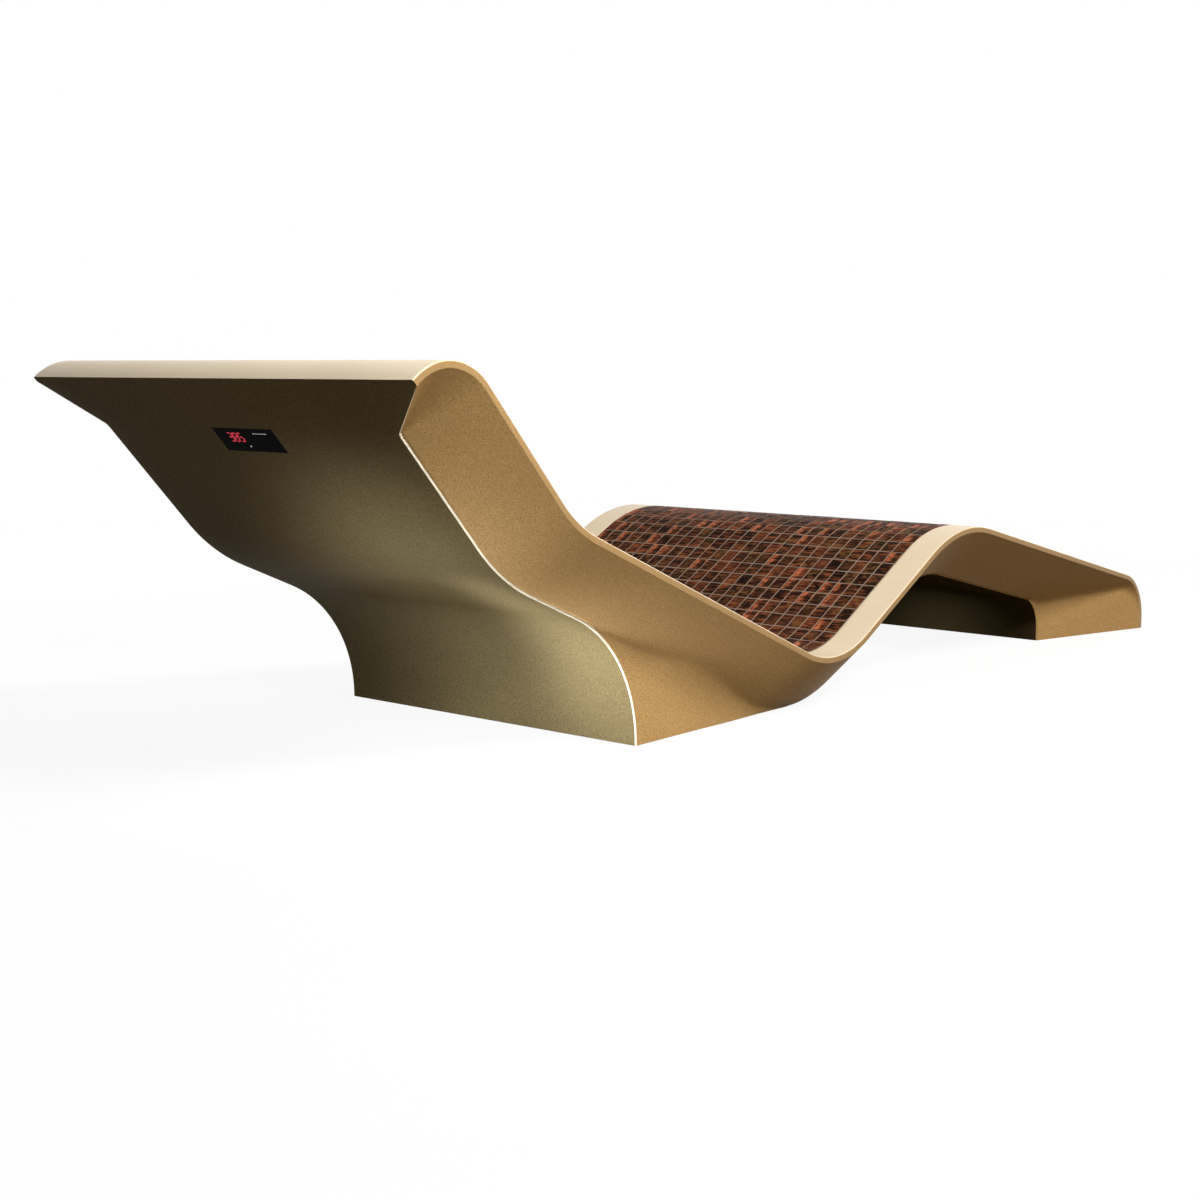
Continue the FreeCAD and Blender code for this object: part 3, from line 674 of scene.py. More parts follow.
@dataclass
class Shop:
    """The shared shader groups, made once."""

    speckle: Tree = field(default_factory=speckle_group)
    mottle: Tree = field(default_factory=mottle_group)

    def mottled(self, board: Board, scale: float) -> Socket:
        """The broad mottle in a material, at a scale."""
        group = board.add("ShaderNodeGroup", {"Scale": scale}, node_tree=self.mottle)
        return group.outputs["Value"]


def start_material(name: str) -> tuple[Material, Board, Node]:
    """A new material with its board and its Principled BSDF.

    Args:
        name: material name.

    Returns:
        The material, its board and its shader.
    """
    material = bpy.data.materials.new(name)
    material.use_nodes = True
    board = Board(material.node_tree)
    return material, board, material.node_tree.nodes["Principled BSDF"]


# Finishes


@dataclass(frozen=True)
class MetallicCoat:
    """Metallic gelcoat: two tones of fine grain under a satin clear coat."""

    name: str
    dark: Rgba
    light: Rgba
    grain: float = 420.0
    contrast: float = 1.6
    metallic: float = 0.35
    roughness: float = 0.42
    specular: float = 0.3
    coat: float = 0.0
    coat_roughness: float = 0.3
    bump: float = 0.05
    bump_height: float = 0.0004
    mottle_scale: float = 5.0
    mottle_span: Pair = (0.94, 1.05)
    sheen_span: float = 0.06

    def material(self, shop: Shop) -> Material:
        """Build the material.

        Args:
            shop: the shared groups.

        Returns:
            The material.
        """
        material, board, shader = start_material(self.name)
        feeds = {"Grain": self.grain, "Contrast": self.contrast}
        speckle = board.add("ShaderNodeGroup", feeds, node_tree=shop.speckle)
        tone = speckle.outputs["Tone"]
        cloud = board.band(shop.mottled(board, self.mottle_scale), *NOISE_SPAN, *self.mottle_span)
        board.fill(shader, {
            "Base Color": board.shaded(board.blend(tone, self.dark, self.light), cloud),
            "Roughness": board.sheen(tone, (0.0, 1.0), self.roughness, self.sheen_span),
            "Metallic": self.metallic,
            "Specular IOR Level": self.specular,
            "Coat Weight": self.coat,
            "Coat Roughness": self.coat_roughness,
            "Normal": board.bump(speckle.outputs["Height"], self.bump, self.bump_height)})
        return material


@dataclass(frozen=True)
class PlainFinish:
    """A moulded, painted, sawn or drawn surface with faint grain and mottling."""

    name: str
    color: Rgba
    roughness: float = 0.5
    metallic: float = 0.0
    grain: float = 300.0
    vary: float = 0.12
    bump: float = 0.1
    stretch: Triple = (1.0, 1.0, 1.0)
    specular: float = 0.5
    bump_height: float = 0.0005
    grain_share: float = 0.6
    mottle_share: float = 0.4
    mottle_scale: float = 9.0
    tone_span: Pair = (0.35, 0.65)
    sheen_span: float = 0.05

    def material(self, shop: Shop) -> Material:
        """Build the material.

        Args:
            shop: the shared groups.

        Returns:
            The material.
        """
        material, board, shader = start_material(self.name)
        grain = board.noise(board.stretched(board.here(), self.stretch), self.grain)
        mottle = board.math("MULTIPLY", shop.mottled(board, self.mottle_scale), self.mottle_share)
        both = board.math("ADD", board.math("MULTIPLY", grain, self.grain_share), mottle)
        darker, lighter = ((*(min(c * (1.0 + vary), 1.0) for c in self.color[:3]), 1.0)
                           for vary in (-self.vary, self.vary))
        board.fill(shader, {
            "Base Color": board.blend(board.band(both, *self.tone_span, 0.0, 1.0), darker, lighter),
            "Roughness": board.sheen(both, NOISE_SPAN, self.roughness, self.sheen_span),
            "Metallic": self.metallic,
            "Specular IOR Level": self.specular,
            "Normal": board.bump(grain, self.bump, self.bump_height)})
        return material


@dataclass(frozen=True)
class MosaicGlaze:
    """Glazed tiles in browns: each has its own tone, many have a copper stripe, grain or clouds."""

    name: str = "mosaic_glaze"
    tones: tuple[tuple[int, int, int], ...] = (
        (20, 12, 9), (38, 24, 16), (50, 30, 20), (68, 38, 25), (44, 32, 20), (84, 45, 29),
        (28, 17, 12))
    copper: tuple[int, int, int] = (172, 94, 62)
    wood: tuple[int, int, int] = (108, 59, 34)
    olive: tuple[int, int, int] = (90, 66, 34)
    roughness: Pair = (0.4, 0.22)
    specular: float = 0.005
    bump: float = 0.5
    bump_height: float = 0.0008
    striped: Pair = (0.84, 1.0)
    grained: Pair = (0.5, 0.84)
    clouded: Pair = (0.32, 0.55)
    stripe_middle: float = 0.8
    stripe_half: float = 0.34
    stripe_wave: float = 0.8
    stripe_most: float = 0.85
    least_grain: float = 0.6
    streak_scale: float = 230.0
    streak_stretch: Triple = (1.0, 0.16, 1.0)
    streak_band: Band = (0.48, 0.62, 0.0, 0.85)
    dark_band: Band = (0.34, 0.5, 0.7, 0.0)
    cloud_scale: float = 95.0
    cloud_band: Band = (0.48, 0.64, 0.0, 0.55)
    fine_scale: float = 420.0
    fine_band: Band = (0.5, 0.72, 0.0, 0.22)
    shade_band: Band = (0.84, 1.16, 0.55, 1.35)

    def tone_ramp(self, board: Board, value: Socket) -> Socket:
        """Plain tone of a tile, picked by a value from 0 to 1.

        Args:
            board: the material's board.
            value: picks the tone.

        Returns:
            The colour.
        """
        ramp = board.add("ShaderNodeValToRGB", {"Fac": value})
        ramp.color_ramp.interpolation = "CONSTANT"
        stops, count = ramp.color_ramp.elements, len(self.tones)
        stops[-1].position = (count - 1) / count
        for stop, tone in ((stops[0], self.tones[0]), (stops[-1], self.tones[-1])):
            stop.color = rgba(*tone)
        for index, tone in enumerate(self.tones[1:-1], 1):
            stops.new(index / count).color = rgba(*tone)
        return ramp.outputs["Color"]

    def some(self, board: Board, kind: Socket, share: Pair, amount: object) -> Socket:
        """An amount for the tiles whose kind lies between two shares, and 0 for the others.

        Args:
            board: the material's board.
            kind: the tile's own value from 0 to 1.
            share: the two shares.
            amount: the amount.

        Returns:
            The amount or 0.
        """
        above = board.math("GREATER_THAN", kind, share[0])
        below = board.math("LESS_THAN", kind, share[1])
        return board.math("MULTIPLY", amount, board.math("MULTIPLY", above, below))

    def material(self, shop: Shop) -> Material:
        """Build the material.

        Args:
            shop: the shared groups, which this glaze does without.

        Returns:
            The material.
        """
        material, board, shader = start_material(self.name)
        tone, place = (board.add("ShaderNodeAttribute", attribute_name=name).outputs["Color"]
                       for name in ("tile_tone", "tile_place"))
        picks = board.add("ShaderNodeSeparateColor", {"Color": tone}).outputs
        along = board.add("ShaderNodeSeparateColor", {"Color": place}).outputs["Green"]
        shifted = board.add("ShaderNodeVectorMath", {0: board.here(), 1: tone}, operation="ADD")
        own = shifted.outputs["Vector"]
        long = board.stretched(own, self.streak_stretch)
        streaky = board.noise(long, self.streak_scale, 4.0, 0.6)
        cloudy = board.noise(own, self.cloud_scale, 3.0, 0.55)
        fine = board.noise(own, self.fine_scale, 2.0)
        wave = board.math("MULTIPLY", board.math("SUBTRACT", cloudy, 0.5), self.stripe_wave)
        off = board.math("ADD", board.math("SUBTRACT", along, self.stripe_middle), wave)
        off = board.math("ABSOLUTE", off)
        stripe = board.band(off, 0.0, self.stripe_half, self.stripe_most, 0.0)
        streak = board.band(streaky, *self.streak_band)
        cloud = board.band(cloudy, *self.cloud_band)
        kind = picks["Green"]
        grained = board.math("MAXIMUM", self.some(board, kind, self.grained, 1.0), self.least_grain)
        layers = (
            (board.math("MULTIPLY", streak, grained), self.wood),
            (self.some(board, kind, self.clouded, cloud), self.olive),
            (self.some(board, kind, self.striped, stripe), self.copper),
            (board.band(streaky, *self.dark_band), self.tones[0]),
            (board.band(fine, *self.fine_band), self.wood))
        color = self.tone_ramp(board, picks["Red"])
        for amount, tint in layers:
            color = board.blend(amount, color, rgba(*tint))
        shade = board.band(board.math("ADD", streaky, cloudy), *self.shade_band)
        board.fill(shader, {
            "Base Color": board.shaded(color, shade),
            "Roughness": board.band(cloudy, *NOISE_SPAN, *self.roughness),
            "Specular IOR Level": self.specular,
            "Normal": board.bump(cloudy, self.bump, self.bump_height)})
        return material


@dataclass(frozen=True)
class LitMark:
    """A lit mark behind the display glass."""

    name: str
    color: Rgba
    strength: float = 0.6
    mottle_scale: float = 60.0
    shadow: tuple[int, int, int] = (20, 0, 0)
    shadow_share: float = 0.25

    def material(self, shop: Shop) -> Material:
        """Build the material.

        Args:
            shop: the shared groups.

        Returns:
            The material.
        """
        material, board, shader = start_material(self.name)
        mottle = shop.mottled(board, self.mottle_scale)
        dimmed = board.band(mottle, *NOISE_SPAN, 0.0, self.shadow_share)
        glow = board.blend(dimmed, self.color, rgba(*self.shadow))
        board.fill(shader, {"Base Color": glow, "Emission Color": glow,
                            "Emission Strength": self.strength})
        return material


Finish = MetallicCoat | PlainFinish | MosaicGlaze | LitMark


# Sub-assemblies


@dataclass
class LyingShell:
    """Top moulding with its rolled head end, rounded rim and the recess for the mosaic."""

    form: BodyForm
    rim_round: float = 0.003
    rim_steps: int = 6
    rim_faces: int = 3
    recess_round: float = 0.0012
    recess_corner: float = 0.3
    sunk: float = 0.00015
    step: float = 0.007
    border_columns: int = 6
    floor_columns: int = 12

    def upper_half(self, depth: float) -> list[Pair]:
        """Cross-section of one border as (distance from the middle, depth), from the rim inwards.

        Args:
            depth: how far the middle lies under the border.

        Returns:
            The points.
        """
        form, inner, count = self.form, self.form.field_half, self.border_columns
        lip = min(self.recess_round, depth)
        corner = lip * self.recess_corner
        half = [(form.full_half, form.rim)]
        half += [(form.full_half - out, down)
                 for out, down in quarter(self.rim_round, self.rim_steps)]
        half += [(inner + (form.border - self.rim_round) * k / count, 0.0)
                 for k in range(count - 1, 0, -1)]
        return half + [(inner + lip, 0.0), (inner + corner, corner), (inner, lip), (inner, depth)]

    def section(self, depth: float) -> list[Pair]:
        """Cross-section as (distance from the middle, depth), from rim to rim and back.

        Args:
            depth: how far the middle lies under the border.

        Returns:
            The points.
        """
        form, count = self.form, self.floor_columns
        half = self.upper_half(depth)
        floor = [(y, depth) for y in places_across(form.field_half, count)[1:-1]]
        bottom = [(-y, form.rim) for y in places_across(form.full_half, count)[1:-1]]
        return half + floor + other_side(half) + bottom

    def build(self) -> Piece:
        """Build the moulding.

        Returns:
            The object.
        """
        form, track = self.form, self.form.top
        first, last = form.field_ends
        rings = []
        spans = ((0.0, first, 0.0), (first, last, form.recess), (last, track.length, 0.0))
        for low, high, depth in spans:
            section = self.section(depth)
            rings += [[spot(track.inside(along, max(down, self.sunk)), y) for y, down in section]
                      for along in track.stops(low, high, self.step)]
        far = 2 * len(self.upper_half(form.recess)) + self.floor_columns - 2
        side_faces = frozenset([*range(self.rim_faces), *range(far - self.rim_faces, far)])
        built = ring_mesh(rings, side_faces)
        built.faces.ensure_lookup_table()
        built.faces[-2].material_index = 2  # the end at the head takes the back sheet's colour, with its painted shade
        return finish_mesh("lying_shell", built)


@dataclass
class SideSkin:
    """One gold side wall: sloping along the slab, upright and softly blended at the two blocks."""

    form: BodyForm
    side: Side
    skin: float = 0.0055
    step: float = 0.006
    rows: int = 36
    toe_gap: float = 1e-4
    halvings: int = 50
    crease_deg: float = 50.0

    def lower_points(self) -> list[tuple[float, complex]]:
        """Stops along the lying surface with the point of the lower edge that belongs to each.

        Returns:
            Pairs of a distance and a point.
        """
        form, top = self.form, self.form.top
        deep, marks = form.thickness - form.sheet, top.joints()
        corner = form.break_corner + 1j * form.back_way * form.sheet
        found = [(along, corner) for along in top.stops(0.0, marks[1], self.step)]
        slab_from, seat_middle = marks[1], (marks[4] + marks[5]) / 2
        toe_x = form.foot_x - form.rim - self.toe_gap
        # each block: its outline, the joint where its arc starts, the joint before the bend of
        # the lying surface above it, where it ends above and on the floor
        blocks = ((form.back, 3, 3, seat_middle, form.base_rear_x, form.contact_x),
                  (form.arch, 4, 7, marks[-1], form.foot_inner_x, toe_x))
        for track, arc_joint, bend, block_end, floor_x, end_x in blocks:
            arc = track.joints()[arc_joint]
            block_start = self.match(track.at(arc)[0], marks[bend], marks[bend + 1])
            slab = top.stops(slab_from, block_start, self.step)
            found += [(along, top.inside(along, deep)) for along in slab]
            edge = [track.inside(u, -form.sheet) for u in track.stops(arc, track.length, self.step)]
            floor = complex(floor_x + form.sheet, 0)
            found += self.spread(block_start, block_end, edge, floor, complex(end_x, 0))
            slab_from = block_end
        return found

    def match(self, under: complex, low: float, high: float) -> float:
        """Distance along the lying surface that is square above a point of the underside.

        Args:
            under: the point of the underside.
            low: a distance before it.
            high: a distance after it.

        Returns:
            The distance.
        """
        for _ in range(self.halvings):
            middle = (low + high) / 2
            point, heading = self.form.top.at(middle)
            ahead = ((under - point) * cmath.rect(1.0, -heading)).real > 0.0
            low, high = (middle, high) if ahead else (low, middle)
        return (low + high) / 2

    def spread(self, low: float, high: float, arc: list[complex], corner: complex,
               end: complex) -> list[tuple[float, complex]]:
        """Pair stops of the lying surface with an edge that goes down an arc and along the floor.

        Args:
            low: first distance along the lying surface.
            high: last distance.
            arc: points of the arc.
            corner: where the arc meets the floor.
            end: where the edge leaves the floor.

        Returns:
            Pairs of a distance and a point of the lower edge.
        """
        count = max(2, math.ceil(abs(end - corner) / self.step))
        line = arc + [corner + (end - corner) * k / count for k in range(1, count + 1)]
        gaps = [0.0]
        for first, second in zip(line, line[1:]):
            gaps.append(gaps[-1] + abs(second - first))
        return [(low + (high - low) * gap / gaps[-1], point) for gap, point in zip(gaps, line)]

    def build(self) -> Piece:
        """Build the side wall.

        Returns:
            The object.
        """
        form, sign = self.form, self.side.value
        rings = []
        for along, low_point in self.lower_points():
            high_point = form.top.inside(along, form.rim)
            way = low_point - high_point
            line = [high_point + way * k / self.rows for k in range(self.rows + 1)]
            outer = [spot(point, sign * form.half_width(point)) for point in line]
            inner = [point - Vector((0.0, sign * self.skin, 0.0)) for point in reversed(outer)]
            rings.append(outer + inner)
        return finish_mesh(f"side_wall_{self.side.name.lower()}", ring_mesh(rings), self.crease_deg)


@dataclass
class UnderSheet:
    """A thin sheet that closes the underside along an outline, with rounded edges in a second
    finish; on the back sheet that is a pale one that paints in the edges' highlight.
    """

    form: BodyForm
    name: str
    track: Track
    start: float = 0.0
    edge_round: float = 0.0009
    foot_round: float = 0.0011
    step: float = 0.006
    columns: int = 18
    edge_columns: int = 6
    round_steps: int = 4
    window: Triple | None = None

    def across(self, flat: float) -> list[float]:
        """Places across the outer face, from one rounded edge to the other.

        Args:
            flat: half the width of the flat part.

        Returns:
            Distances from the middle.
        """
        half, count = self.window[2] if self.window else flat * 0.5, self.edge_columns
        outer = [flat + (half - flat) * k / count for k in range(1, count + 1)]
        return outer + places_across(half, self.columns)[1:-1] + [-y for y in reversed(outer)]

    def ring(self, along: float, sink: float) -> Ring:
        """Closed cross-section at a distance along the outline, with its outer face sunk in.

        Args:
            along: distance along the outline.
            sink: how far the face is sunk.

        Returns:
            The points.
        """
        form = self.form
        half = form.half_width(self.track.at(along)[0]) - sink
        edge = [(half, -form.sheet)]
        edge += [(half - out, -down - sink)
                 for out, down in quarter(self.edge_round, self.round_steps)]
        across = self.across(half - self.edge_round)
        middle = [(y, -sink) for y in across]
        inside = [(-y, -form.sheet) for y in across]
        section = edge + middle + other_side(edge) + inside
        return [spot(self.track.inside(along, down), y) for y, down in section]

    def stops(self) -> list[Pair]:
        """Distances along the outline, with how far the outer face is sunk at each.

        Returns:
            Pairs of a distance and a depth.
        """
        window = self.window[:2] if self.window else ()
        marks = [self.start, *window, self.track.length - self.foot_round]
        found = [self.start]
        for low, high in zip(marks, marks[1:]):
            found += self.track.stops(low, high, self.step)[1:]
        steps = quarter(self.foot_round, self.round_steps)
        foot = [(self.track.length - side, top) for side, top in steps]
        return [(along, 0.0) for along in found[:-1]] + sorted(foot)

    def build(self) -> Piece:
        """Build the sheet.

        Returns:
            The object.
        """
        rings = [self.ring(along, sink) for along, sink in self.stops()]
        lip = self.round_steps + 1
        far = len(rings[0]) // 2
        built = ring_mesh(rings, frozenset([*range(lip), *range(far, far + lip)]))
        if self.window:
            low, high, half = self.window
            cut_window(built, lambda point: self.in_window(point, low, high, half))
        return finish_mesh(self.name, built)

    def in_window(self, point: Vector, low: float, high: float, half: float) -> bool:
        """Whether a point lies in the window, which is in the outline's first straight run.

        Args:
            point: the point.
            low: where the window starts.
            high: where it ends.
            half: half its width.

        Returns:
            True inside.
        """
        start, heading = self.track.at(0.0)
        along = ((complex(point.x, point.z) - start) * cmath.rect(1.0, -heading)).real
        return low < along < high and abs(point.y) < half


@dataclass
class Mosaic:
    """Glazed tiles in rows across the lying surface, and the grout that they are bedded in."""

    form: BodyForm
    columns: int = 27
    pitch_along: float = 0.033
    gap: float = 0.0018
    depth: float = 0.004
    bevel: float = 0.0007
    grout_sink: float = 0.0005
    grout_columns: int = 24
    unevenness: float = 0.007
    lift: float = 0.0001
    crease_deg: float = 20.0
    seed: int = 7

    def tile(self, built: Mesh, place: Pair, half: Pair,
             lift: float, tilt: Pair) -> list[bmesh.types.BMFace]:
        """Add one bevelled tile.

        Args:
            built: the zone's geometry.
            place: distance along the surface and from the middle.
            half: half the length and half the width.
            lift: height of its top over the surface.
            tilt: slope along and across.

        Returns:
            The tile's faces.
        """
        reach = half[0] + self.gap / 2
        before, after = (self.form.top.at(place[0] + shift)[0] for shift in (-reach, reach))
        point = (before + after) / 2
        way = cmath.rect(1.0, cmath.phase(after - before) + tilt[0])
        up = 1j * way
        loops = []
        for level, inset in ((-self.depth, 0.0), (lift - self.bevel, 0.0), (lift, self.bevel)):
            a, b = half[0] - inset, half[1] - inset
            loops.append([spot(point + way * u + up * (level + v * tilt[1]), place[1] + v)
                          for u, v in rectangle(a, b)])
        return add_block(built, loops)

    def rows(self) -> tuple[float, float, int]:
        """Where the first row starts, how far the rows are apart and how many there are.

        Returns:
            The start, the distance and the number.
        """
        first, last = self.form.field_ends
        count = round((last - first) / self.pitch_along)
        return first, (last - first) / count, count

    def zones(self) -> list[tuple[str, float]]:
        """The zones of the mosaic.

        Returns:
            Pairs of a name and the distance along the surface at which the zone ends.
        """
        marks = self.form.top.joints()
        return [("mosaic_back", marks[3]), ("mosaic_seat", marks[5]), ("mosaic_thigh", marks[6]),
                ("mosaic_leg", marks[-1])]

    def build(self) -> dict[str, Piece]:
        """Build the tiles of each zone.

        Returns:
            The objects by zone.
        """
        chance = random.Random(self.seed)
        corners = ((0.0, 0.0), (1.0, 0.0), (1.0, 1.0), (0.0, 1.0))
        first, pitch, rows = self.rows()
        field_half = self.form.field_half
        across = (2 * field_half - self.gap) / self.columns
        half = ((pitch - self.gap) / 2, (across - self.gap) / 2)
        zones = self.zones()
        meshes = {name: bmesh.new() for name, _ in zones}
        for row in range(rows):
            along = first + (row + 0.5) * pitch
            built = meshes[next(name for name, end in zones if along < end)]
            colors = built.loops.layers.float_color
            tones = colors.get("tile_tone") or colors.new("tile_tone")
            places = colors.get("tile_place") or colors.new("tile_place")
            for column in range(self.columns):
                y = -field_half + self.gap / 2 + (column + 0.5) * across
                tilt = (chance.gauss(0.0, self.unevenness), chance.gauss(0.0, self.unevenness))
                lift = chance.uniform(-self.lift, self.lift)
                faces = self.tile(built, (along, y), half, lift, tilt)
                tone = (chance.random(), chance.random(), chance.random(), 1.0)
                for index, face in enumerate(faces):
                    for turn, loop in enumerate(face.loops):
                        loop[tones] = tone
                        u, v = corners[3 - turn] if index == 1 else corners[turn]
                        loop[places] = (u, v, 0.0, 1.0)
        return {name: finish_mesh(f"{name}_tiles", built, self.crease_deg)
                for name, built in meshes.items()}

    def grout(self) -> Piece:
        """Build the grout between and under the tiles.

        Returns:
            The object.
        """
        form = self.form
        across = places_across(form.field_half, self.grout_columns)
        section = [(y, self.grout_sink) for y in across] + [(-y, form.recess) for y in across]
        first, pitch, rows = self.rows()
        rings = [[spot(form.top.inside(first + pitch * row, down), y) for y, down in section]
                 for row in range(rows + 1)]
        return finish_mesh("grout_bed", ring_mesh(rings))


@dataclass
class TouchDisplay:
    """Black touch glass in the back sheet with lit digits and plain level marks."""

    form: BodyForm
    width: float = 0.12
    height: float = 0.041
    drop: float = 0.0183
    depth: float = 0.0028
    sink: float = 0.0004
    bevel: float = 0.0005
    gap: float = 0.0001
    corner: float = 0.0004
    corner_steps: int = 4
    mark_sink: float = 0.0001
    mark_proud: float = 0.0002
    text: str = "385"
    text_at: Pair = (-0.033, -0.0043)
    digit_height: float = 0.0145
    digit_width: float = 0.0072
    digit_pitch: float = 1.4
    stroke: float = 0.0017
    level_at: Pair = (0.018, -0.0115)
    level_half: Pair = (0.0017, 0.0005)
    level_pitch: float = 0.0046
    level_count: int = 6
    touch_at: Pair = (-0.006, 0.0115)
    touch_half: float = 0.0011

    @property
    def window(self) -> Triple:
        """Start, end and half width of the display's opening along the back sheet."""
        middle = self.form.thickness + self.drop
        return middle - self.height / 2, middle + self.height / 2, self.width / 2

    def place(self, across: float, down: float, out: float) -> Vector:
        """A point of the display: across towards the right side, down the back, out of the sheet.

        Args:
            across: distance from its middle.
            down: distance down from its middle.
            out: height over the sheet.

        Returns:
            The point.
        """
        middle = self.form.break_corner + self.drop * self.form.back_way
        point = middle + down * self.form.back_way - 1j * self.form.back_way * out
        return spot(point, -across)

    def glass(self) -> Piece:
        """Build the glass plate with rounded corners and a small bevel.

        Returns:
            The object.
        """
        rings, r = [], self.corner
        turns = [(way, math.pi / 2 * (index + k / self.corner_steps))
                 for index, way in enumerate(((1, 1), (-1, 1), (-1, -1), (1, -1)))
                 for k in range(self.corner_steps + 1)]
        levels = ((-self.depth, 0.0), (-self.sink - self.bevel, 0.0), (-self.sink, self.bevel))
        for out, inset in levels:
            a, b = (full / 2 - inset - self.gap - r for full in (self.width, self.height))
            rings.append([self.place(x * a + r * math.cos(turn), y * b + r * math.sin(turn), out)
                          for (x, y), turn in turns])
        return finish_mesh("display_pane", ring_mesh(rings))

    def bars(self, name: str, strokes: list[Stroke]) -> Piece:
        """Build thin lit bars on the glass from (across, down, half width, half height).

        Args:
            name: object name.
            strokes: the bars.

        Returns:
            The object.
        """
        built = bmesh.new()
        levels = (-self.sink - self.mark_sink, -self.sink + self.mark_proud)
        for across, down, a, b in strokes:
            add_block(built, [[self.place(across + u, down + v, out) for u, v in rectangle(a, b)]
                              for out in levels])
        return finish_mesh(name, built)

    def digits(self) -> Piece:
        """Build the seven-bar digits.

        Returns:
            The object.
        """
        lit = {"3": "abgcd", "5": "afgcd", "8": "abcdefg"}
        w, h, t = self.digit_width / 2, self.digit_height / 2, self.stroke / 2
        spots = {"a": (0, -h, w - t, t), "g": (0, 0, w - t, t), "d": (0, h, w - t, t),
                 "b": (w, -h / 2, t, h / 2 - t), "c": (w, h / 2, t, h / 2 - t),
                 "f": (-w, -h / 2, t, h / 2 - t), "e": (-w, h / 2, t, h / 2 - t)}
        across, down = self.text_at
        strokes = []
        for index, digit in enumerate(self.text):
            middle = across + index * self.digit_width * self.digit_pitch
            strokes += [(middle + x, down + y, a, b)
                        for x, y, a, b in (spots[bar] for bar in lit[digit])]
        return self.bars("display_digits", strokes)

    def level_marks(self) -> Piece:
        """Build a row of small plain level marks and one touch point.

        Returns:
            The object.
        """
        across, down = self.level_at
        row = [(across + self.level_pitch * k, down, *self.level_half)
               for k in range(self.level_count)]
        touch = (*self.touch_at, self.touch_half, self.touch_half)
        return self.bars("display_marks", row + [touch])


# Studio


